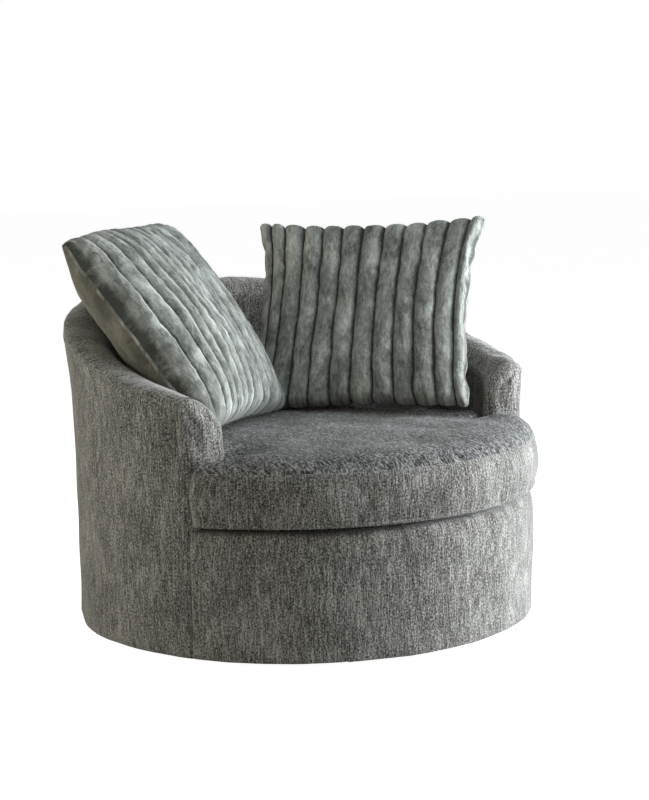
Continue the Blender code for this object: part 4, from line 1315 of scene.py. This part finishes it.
class Pillow:
    """Square pillow: channelled plush in front, plain cloth behind.

    PER counts the points across a channel and ROWS those along it. PITCH is the width of the
    cloth that is gathered into one channel.
    """

    PER = 20
    ROWS = 240
    PITCH = 0.05

    def __init__(self, form: PillowForm, barrel: Barrel, cushion: SeatCushion) -> None:
        """Keep the form and what the pillow leans on, and draw its noises.

        Args:
            form: sizes and place of the pillow.
            barrel: sizes of the barrel.
            cushion: the seat cushion under it.
        """
        self.form = form
        self.barrel = barrel
        self.cushion = cushion
        self.lump = SoftNoise(form.seed, 0.45, 0.12)
        self.nap = SoftNoise(form.seed + 1, 0.036, 0.009, 40)
        self.wave = SoftNoise(form.seed + 2, 0.22, 0.05)

    def grid(self) -> tuple[Array, Array, Array, Array]:
        """Place the surface points, closer together near the grooves, which wander a little.

        Returns:
            Coordinates u and v from -1 to 1, and the place across the channel and the channel's
            number of each column.
        """
        f = self.form
        edge = f.grooves()
        v = np.linspace(-1.0, 1.0, self.ROWS)
        v = (0.5 * np.sin(0.5 * np.pi * v) + 0.5 * v)[:, None]
        number = np.append(np.repeat(np.arange(f.channels), self.PER), f.channels - 1)
        across = 0.5 * (1.0 - np.cos(np.pi * np.arange(self.PER) / self.PER))
        part = np.append(np.tile(across, f.channels), 1.0)
        wander = np.zeros((self.ROWS, f.channels + 1))
        for k in range(1, f.channels):
            line = np.column_stack([np.full(self.ROWS, 0.37 * k), 0.3 * v[:, 0], np.zeros(self.ROWS)])
            wander[:, k] = 0.0021 * self.wave(line)
        low, high = edge[number] + wander[:, number], edge[number + 1] + wander[:, number + 1]
        u = 2.0 * (low + (high - low) * part) - 1.0
        return u, np.broadcast_to(v, u.shape), part, number

    def plan(self, u: Array, v: Array) -> tuple[Array, Array, Array]:
        """Work out the outline, x = W u (1 - ear (1 - v^2)) / 2 and z alike, and the puff.

        The puff is (1 - |u|^2.6)^0.5 (1 - |v|^2.6)^0.5.

        Args:
            u, v: coordinates from -1 to 1.

        Returns:
            The x, the z and the puff of each point.
        """
        f = self.form
        x = 0.5 * f.width * u * (1.0 - f.ear * (1.0 - v ** 2))
        z = 0.5 * f.height * v * (1.0 - f.ear * (1.0 - u ** 2))
        for (dx, dz), (su, sv) in zip(f.pulls, ((-1, -1), (1, -1), (-1, 1), (1, 1))):
            near = smooth_step((su * u - 0.45) / 0.55) * smooth_step((sv * v - 0.45) / 0.55)
            x, z = x + dx * near, z + dz * near
        across, along = (np.sqrt(np.clip(1.0 - np.abs(a) ** 2.6, 0.0, 1.0)) for a in (u, v))
        return x, z, across * along

    def build(self) -> None:
        """Make the pillow and let it ride on its body."""
        f = self.form
        u, v, part, number = self.grid()
        x, z, puff = self.plan(u, v)
        phase = 2.0 * part - 1.0
        rng = np.random.default_rng(f.seed + 5)
        plump = (1.0 + 0.07 * rng.normal(size=f.channels))[number][None, :]
        arch = (np.clip(1.0 - np.abs(phase) ** 2.2, 0.0, 1.0) ** (1.0 / 2.2))[None, :] * plump
        bend = f.twist * u * v
        cap = np.sqrt(1.0 - (np.clip(np.abs(v) - 0.93, 0.0, None) / 0.07) ** 2)
        body = 0.5 * f.seam + (f.front - 0.5 * f.seam - f.groove) * puff
        local = np.stack([x, bend - body - f.groove * arch * (0.12 + 0.88 * cap), z], -1)
        tip = np.clip((np.abs(v) - 0.90) / 0.10, 0.0, 1.0) ** 1.6
        local[..., 2] += np.sign(v) * (0.012 * arch - 0.011) * tip
        side = np.clip((np.abs(u) - 0.90) / 0.10, 0.0, 1.0)
        local[..., 0] += np.sign(u) * side * (0.002 + 0.0030 * self.wave(local * 1.3))
        nap = 0.0006 * self.nap(local) * np.clip(4.0 * puff, 0.3, 1.0)
        local[..., 1] -= 0.004 * self.lump(local) * puff + nap
        behind_seam = bend + 0.5 * f.seam + (f.back - 0.5 * f.seam) * puff
        back = np.stack([local[..., 0], behind_seam, local[..., 2]], -1)
        back[..., 1] += 0.004 * self.lump(back) * puff + 0.0012 * self.wave(back * 2.5) * puff
        turn, place = f.matrix(), np.array(f.at)
        world, behind = (self.rest(points @ turn.T + place) for points in (local, back))
        across = (number + 0.02 + 0.96 * part) * self.PITCH
        cloth = np.stack([across + 0.0 * u, 0.5 * f.height * v + 2.0 * f.seed], -1)
        cloth_back = np.stack([x + 3.0, z + f.seed], -1)
        patches = [Patch(world, cloth), Patch(behind, cloth_back, flip=True, slot=1)]
        piece = make_piece(f.name + "_fabric", patches + self.border(world, behind, cloth),
                           [finish(Cloths.FUR), finish(Cloths.FUR_BACK)])
        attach(piece, "left_pillow" if "left" in f.name else "right_pillow")
        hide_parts(f.name)

    def rest(self, points: Array) -> Array:
        """Flatten the pillow where it leans on the barrel and sits on the cushion."""
        return self.cushion.carry(self.barrel.press(points, 0.002), 0.001)

    def border(self, front: Array, back: Array, cloth: Array) -> list[Patch]:
        """Join the front's border to the back's round a soft edge.

        Args:
            front, back: points of both faces.
            cloth: cloth coordinates of the front.

        Returns:
            One strip for each side.
        """
        strips = []
        every = slice(None)
        edges = (((0, every), True), ((-1, every), False), ((every, 0), False), ((every, -1), True))
        for edge, flip in edges:
            near, far, mark = front[edge], back[edge], cloth[edge].copy()
            if abs(mark[0, 0] - mark[-1, 0]) < self.PITCH:
                mark[:, 0] = (math.floor(mark[0, 0] / self.PITCH) + 0.5) * self.PITCH
            points = np.stack([near, 0.5 * (near + far), far])
            step = np.array([0.0, 0.003, 0.006])[:, None, None] * np.array([0.0, 1.0])
            strips.append(Patch(points, mark[None] + step, flip=flip))
        return strips


PILLOWS = (
    PillowForm(name="pillow_left", at=(-0.2987, 0.1319, 0.7716), facing=35.5, lean=36.3, spin=1.4,
               twist=-0.013, width=0.616, height=0.613, front=0.1175, back=0.1175, ear=0.058,
               pulls=((0.0, 0.0), (0.0, 0.0), (0.022, -0.016), (-0.018, -0.020)), seed=31,
               ribs=(0.88, 1.06, 0.86, 0.78, 0.76, 0.78, 0.80, 0.84, 0.92, 1.02, 1.08, 1.10, 1.05)),
    PillowForm(name="pillow_right", at=(0.2821, 0.0861, 0.7626), facing=-52.4, lean=31.3, spin=-1.9,
               twist=0.003, width=0.623, height=0.584, front=0.073, back=0.073, ear=0.083,
               pulls=((0.0, 0.0), (-0.006, 0.010), (-0.004, 0.0), (0.006, -0.002)), seed=47,
               ribs=(0.50, 0.72, 1.08, 1.05, 1.08, 1.11, 1.15, 1.10, 1.10, 1.14, 1.02, 0.56)),
)


# ---------------------------------------------------------------- hidden pieces

class HiddenParts:
    """Dust cloth, and finishes of the rigid pieces that stay as the CAD has them."""

    FINISHES = {
        "plywood": Metals.PLYWOOD,
        "frame_wood": Metals.WOOD,
        "zinc_steel": Metals.ZINC,
        "black_steel": Metals.BLACK,
        "spring_steel": Metals.SPRING,
        "nylon": Metals.NYLON,
    }

    def build(self) -> None:
        """Finish the rigid nodes and make the dust cloth."""
        for row in frame["record"]["subparts"]:
            kind = self.FINISHES.get(row["material_slot"])
            if kind is None:
                continue
            node = frame["nodes"][row["node"]]
            node.data.materials.clear()
            node.data.materials.append(finish(kind))
        self.dust_cloth()

    def dust_cloth(self) -> bpy.types.Object:
        """Make the ring of thin cloth under the floor board, which sags between its edges.

        Returns:
            The piece.
        """
        _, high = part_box("dust_cover")
        outer = high.x - 0.0004
        inner = 0.4004
        q = np.linspace(0.0, 1.0, 24)[:, None]
        angle = np.linspace(0.0, 2.0 * np.pi, 361)[None, :]
        radius = inner + (outer - inner) * q + 0.0 * angle
        sag = 0.0012 * np.sin(np.pi * q) * (1.0 + 0.5 * np.sin(14.0 * angle))
        top = np.stack([radius * np.sin(angle), -radius * np.cos(angle), high.z - 0.0002 - sag], -1)
        bottom = top - np.array([0.0, 0.0, 0.0006])
        cloth = np.stack([0.48 * angle + 0.0 * radius, radius], -1)
        piece = make_piece("dust_cloth_fabric", shell(bottom, top, cloth, ends=False), [finish(Cloths.DUST)])
        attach(piece, "chair")
        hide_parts("dust_cover")
        return piece


# ---------------------------------------------------------------- studio

@dataclass(frozen=True)
class Lamp:
    """A soft square studio lamp aimed at the chair.

    Attributes:
        name: name of the lamp.
        side: degrees to the right of the camera, as seen from the chair.
        rise: degrees above the floor.
        away: distance in metres.
        size: side of the lamp in metres.
        watts: power.
        tint: colour.
    """

    name: str
    side: float
    rise: float
    away: float
    size: float
    watts: float
    tint: Colour = (1.0, 1.0, 1.0)

    def build(self) -> None:
        """Add the lamp."""
        data = bpy.data.lights.new(self.name, "AREA")
        data.size = self.size
        data.energy = self.watts
        data.color = self.tint
        lamp = bpy.data.objects.new(self.name, data)
        turn, rise = math.radians(self.side) - Studio.TURN, math.radians(self.rise)
        aim = np.array([0.0, 0.0, 0.45])
        reach = np.array([math.sin(turn) * math.cos(rise), -math.cos(turn) * math.cos(rise), math.sin(rise)])
        lamp.location = aim + self.away * reach
        lamp.rotation_euler = Vector(-reach).to_track_quat("-Z", "Y").to_euler()
        bpy.context.scene.collection.objects.link(lamp)


class Studio:
    """Camera, lamps, world and floor.

    FOCAL is the focal length in pixels of a picture IMAGE_HEIGHT high. AT is the camera's place,
    TILT, PAN and ROLL its turns, before all of it is turned round the chair by TURN.
    """

    FOCAL = 1849.8
    IMAGE_HEIGHT = 800
    AT = (0.0, -4.848, 1.224)
    TILT = math.radians(7.80)
    PAN = math.radians(0.69)
    ROLL = math.radians(-1.20)
    TURN = math.radians(36.5)
    WORLD_TINT = (1.0, 0.94, 0.84)
    WORLD_LIGHT = 0.03
    FLOOR_TONE = (0.50, 0.50, 0.50)
    FLOOR_GLOW = 0.97
    FLOOR_REACH = 30.0

    LAMPS = (
        Lamp("key", side=104.0, rise=6.0, away=4.2, size=1.5, watts=310.0, tint=(0.96, 0.98, 1.0)),
        Lamp("side", side=82.0, rise=16.0, away=4.2, size=1.5, watts=140.0, tint=(0.94, 0.98, 1.0)),
        Lamp("top", side=60.0, rise=62.0, away=3.2, size=1.6, watts=22.0, tint=(0.80, 0.92, 1.0)),
        Lamp("front", side=15.0, rise=42.0, away=4.0, size=2.0, watts=20.0, tint=(1.0, 0.92, 0.78)),
        Lamp("edge", side=-95.0, rise=10.0, away=3.2, size=1.6, watts=46.0, tint=(1.0, 0.95, 0.82)),
        Lamp("fill", side=-35.0, rise=22.0, away=4.0, size=2.5, watts=22.0, tint=(1.0, 0.91, 0.76)),
    )

    def build(self) -> None:
        """Make the studio."""
        for lamp in self.LAMPS:
            lamp.build()
        self.camera()
        self.world()
        self.floor()
        bpy.context.scene.view_settings.view_transform = "Standard"

    def camera(self) -> None:
        """Camera of the photograph, placed in the chair's axes."""
        ce, se = math.cos(self.TILT), math.sin(self.TILT)
        forward = np.array([math.sin(self.PAN) * ce, math.cos(self.PAN) * ce, -se])
        level = np.array([math.cos(self.PAN), -math.sin(self.PAN), 0.0])
        upright = np.cross(level, forward)
        cr, sr = math.cos(self.ROLL), math.sin(self.ROLL)
        right = cr * level + sr * upright
        up = -sr * level + cr * upright
        turn = np.array(Matrix.Rotation(-self.TURN, 3, "Z"))
        data = bpy.data.cameras.new("photo_camera")
        data.sensor_fit = "VERTICAL"
        data.sensor_height = 36.0
        data.lens = 36.0 * self.FOCAL / self.IMAGE_HEIGHT
        data.clip_start = 0.1
        camera = bpy.data.objects.new("photo_camera", data)
        axes = turn @ np.stack([right, up, -forward], -1)
        at = turn @ np.array(self.AT)
        camera.matrix_world = Matrix([[*axes[k], at[k]] for k in range(3)] + [[0.0, 0.0, 0.0, 1.0]])
        bpy.context.scene.collection.objects.link(camera)
        bpy.context.scene.camera = camera

    def world(self) -> None:
        """White for the camera, a dim warm light for everything else."""
        world = bpy.data.worlds.new("studio")
        bpy.context.scene.world = world
        g = Graph(world)
        g.tree.nodes.clear()
        light = g.node("Background", {"Color": (*self.WORLD_TINT, 1.0), "Strength": self.WORLD_LIGHT})
        white = g.node("Background", {"Color": (1.0, 1.0, 1.0, 1.0), "Strength": 1.0})
        mix = g.node("MixShader", {0: g.seen(), 1: light.outputs[0], 2: white.outputs[0]})
        g.node("OutputWorld", {0: mix.outputs[0]})

    def floor(self) -> None:
        """Pale floor that shows white and keeps a soft shadow."""
        s = self.FLOOR_REACH
        mesh = bpy.data.meshes.new("studio_floor")
        mesh.from_pydata([(-s, -s, 0.0), (s, -s, 0.0), (s, s, 0.0), (-s, s, 0.0)], [], [(0, 1, 2, 3)])
        floor = bpy.data.objects.new("studio_floor", mesh)
        bpy.context.scene.collection.objects.link(floor)
        g = Graph(bpy.data.materials.new("studio_floor"))
        g.set(Base_Color=(*self.FLOOR_TONE, 1.0), Roughness=1.0, Specular_IOR_Level=0.0)
        glow = g.node("Emission", {"Color": (1.0, 1.0, 1.0, 1.0), "Strength": self.FLOOR_GLOW})
        both = g.node("AddShader", {0: g.shader.outputs[0], 1: glow.outputs[0]})
        mixed = g.node("MixShader", {0: g.seen(), 1: g.shader.outputs[0], 2: both.outputs[0]})
        g.feed(g.tree.nodes["Material Output"].inputs[0], mixed.outputs[0])
        mesh.materials.append(g.owner)


def main() -> None:
    """Build the chair's looks and the studio."""
    logging.basicConfig(level=logging.INFO, format="%(name)s: %(message)s")
    Upholstery(BARREL).build()
    cushion = SeatCushion(CushionForm())
    cushion.build()
    for form in PILLOWS:
        Pillow(form, BARREL, cushion).build()
    HiddenParts().build()
    Studio().build()


if __name__ == "__main__":
    main()
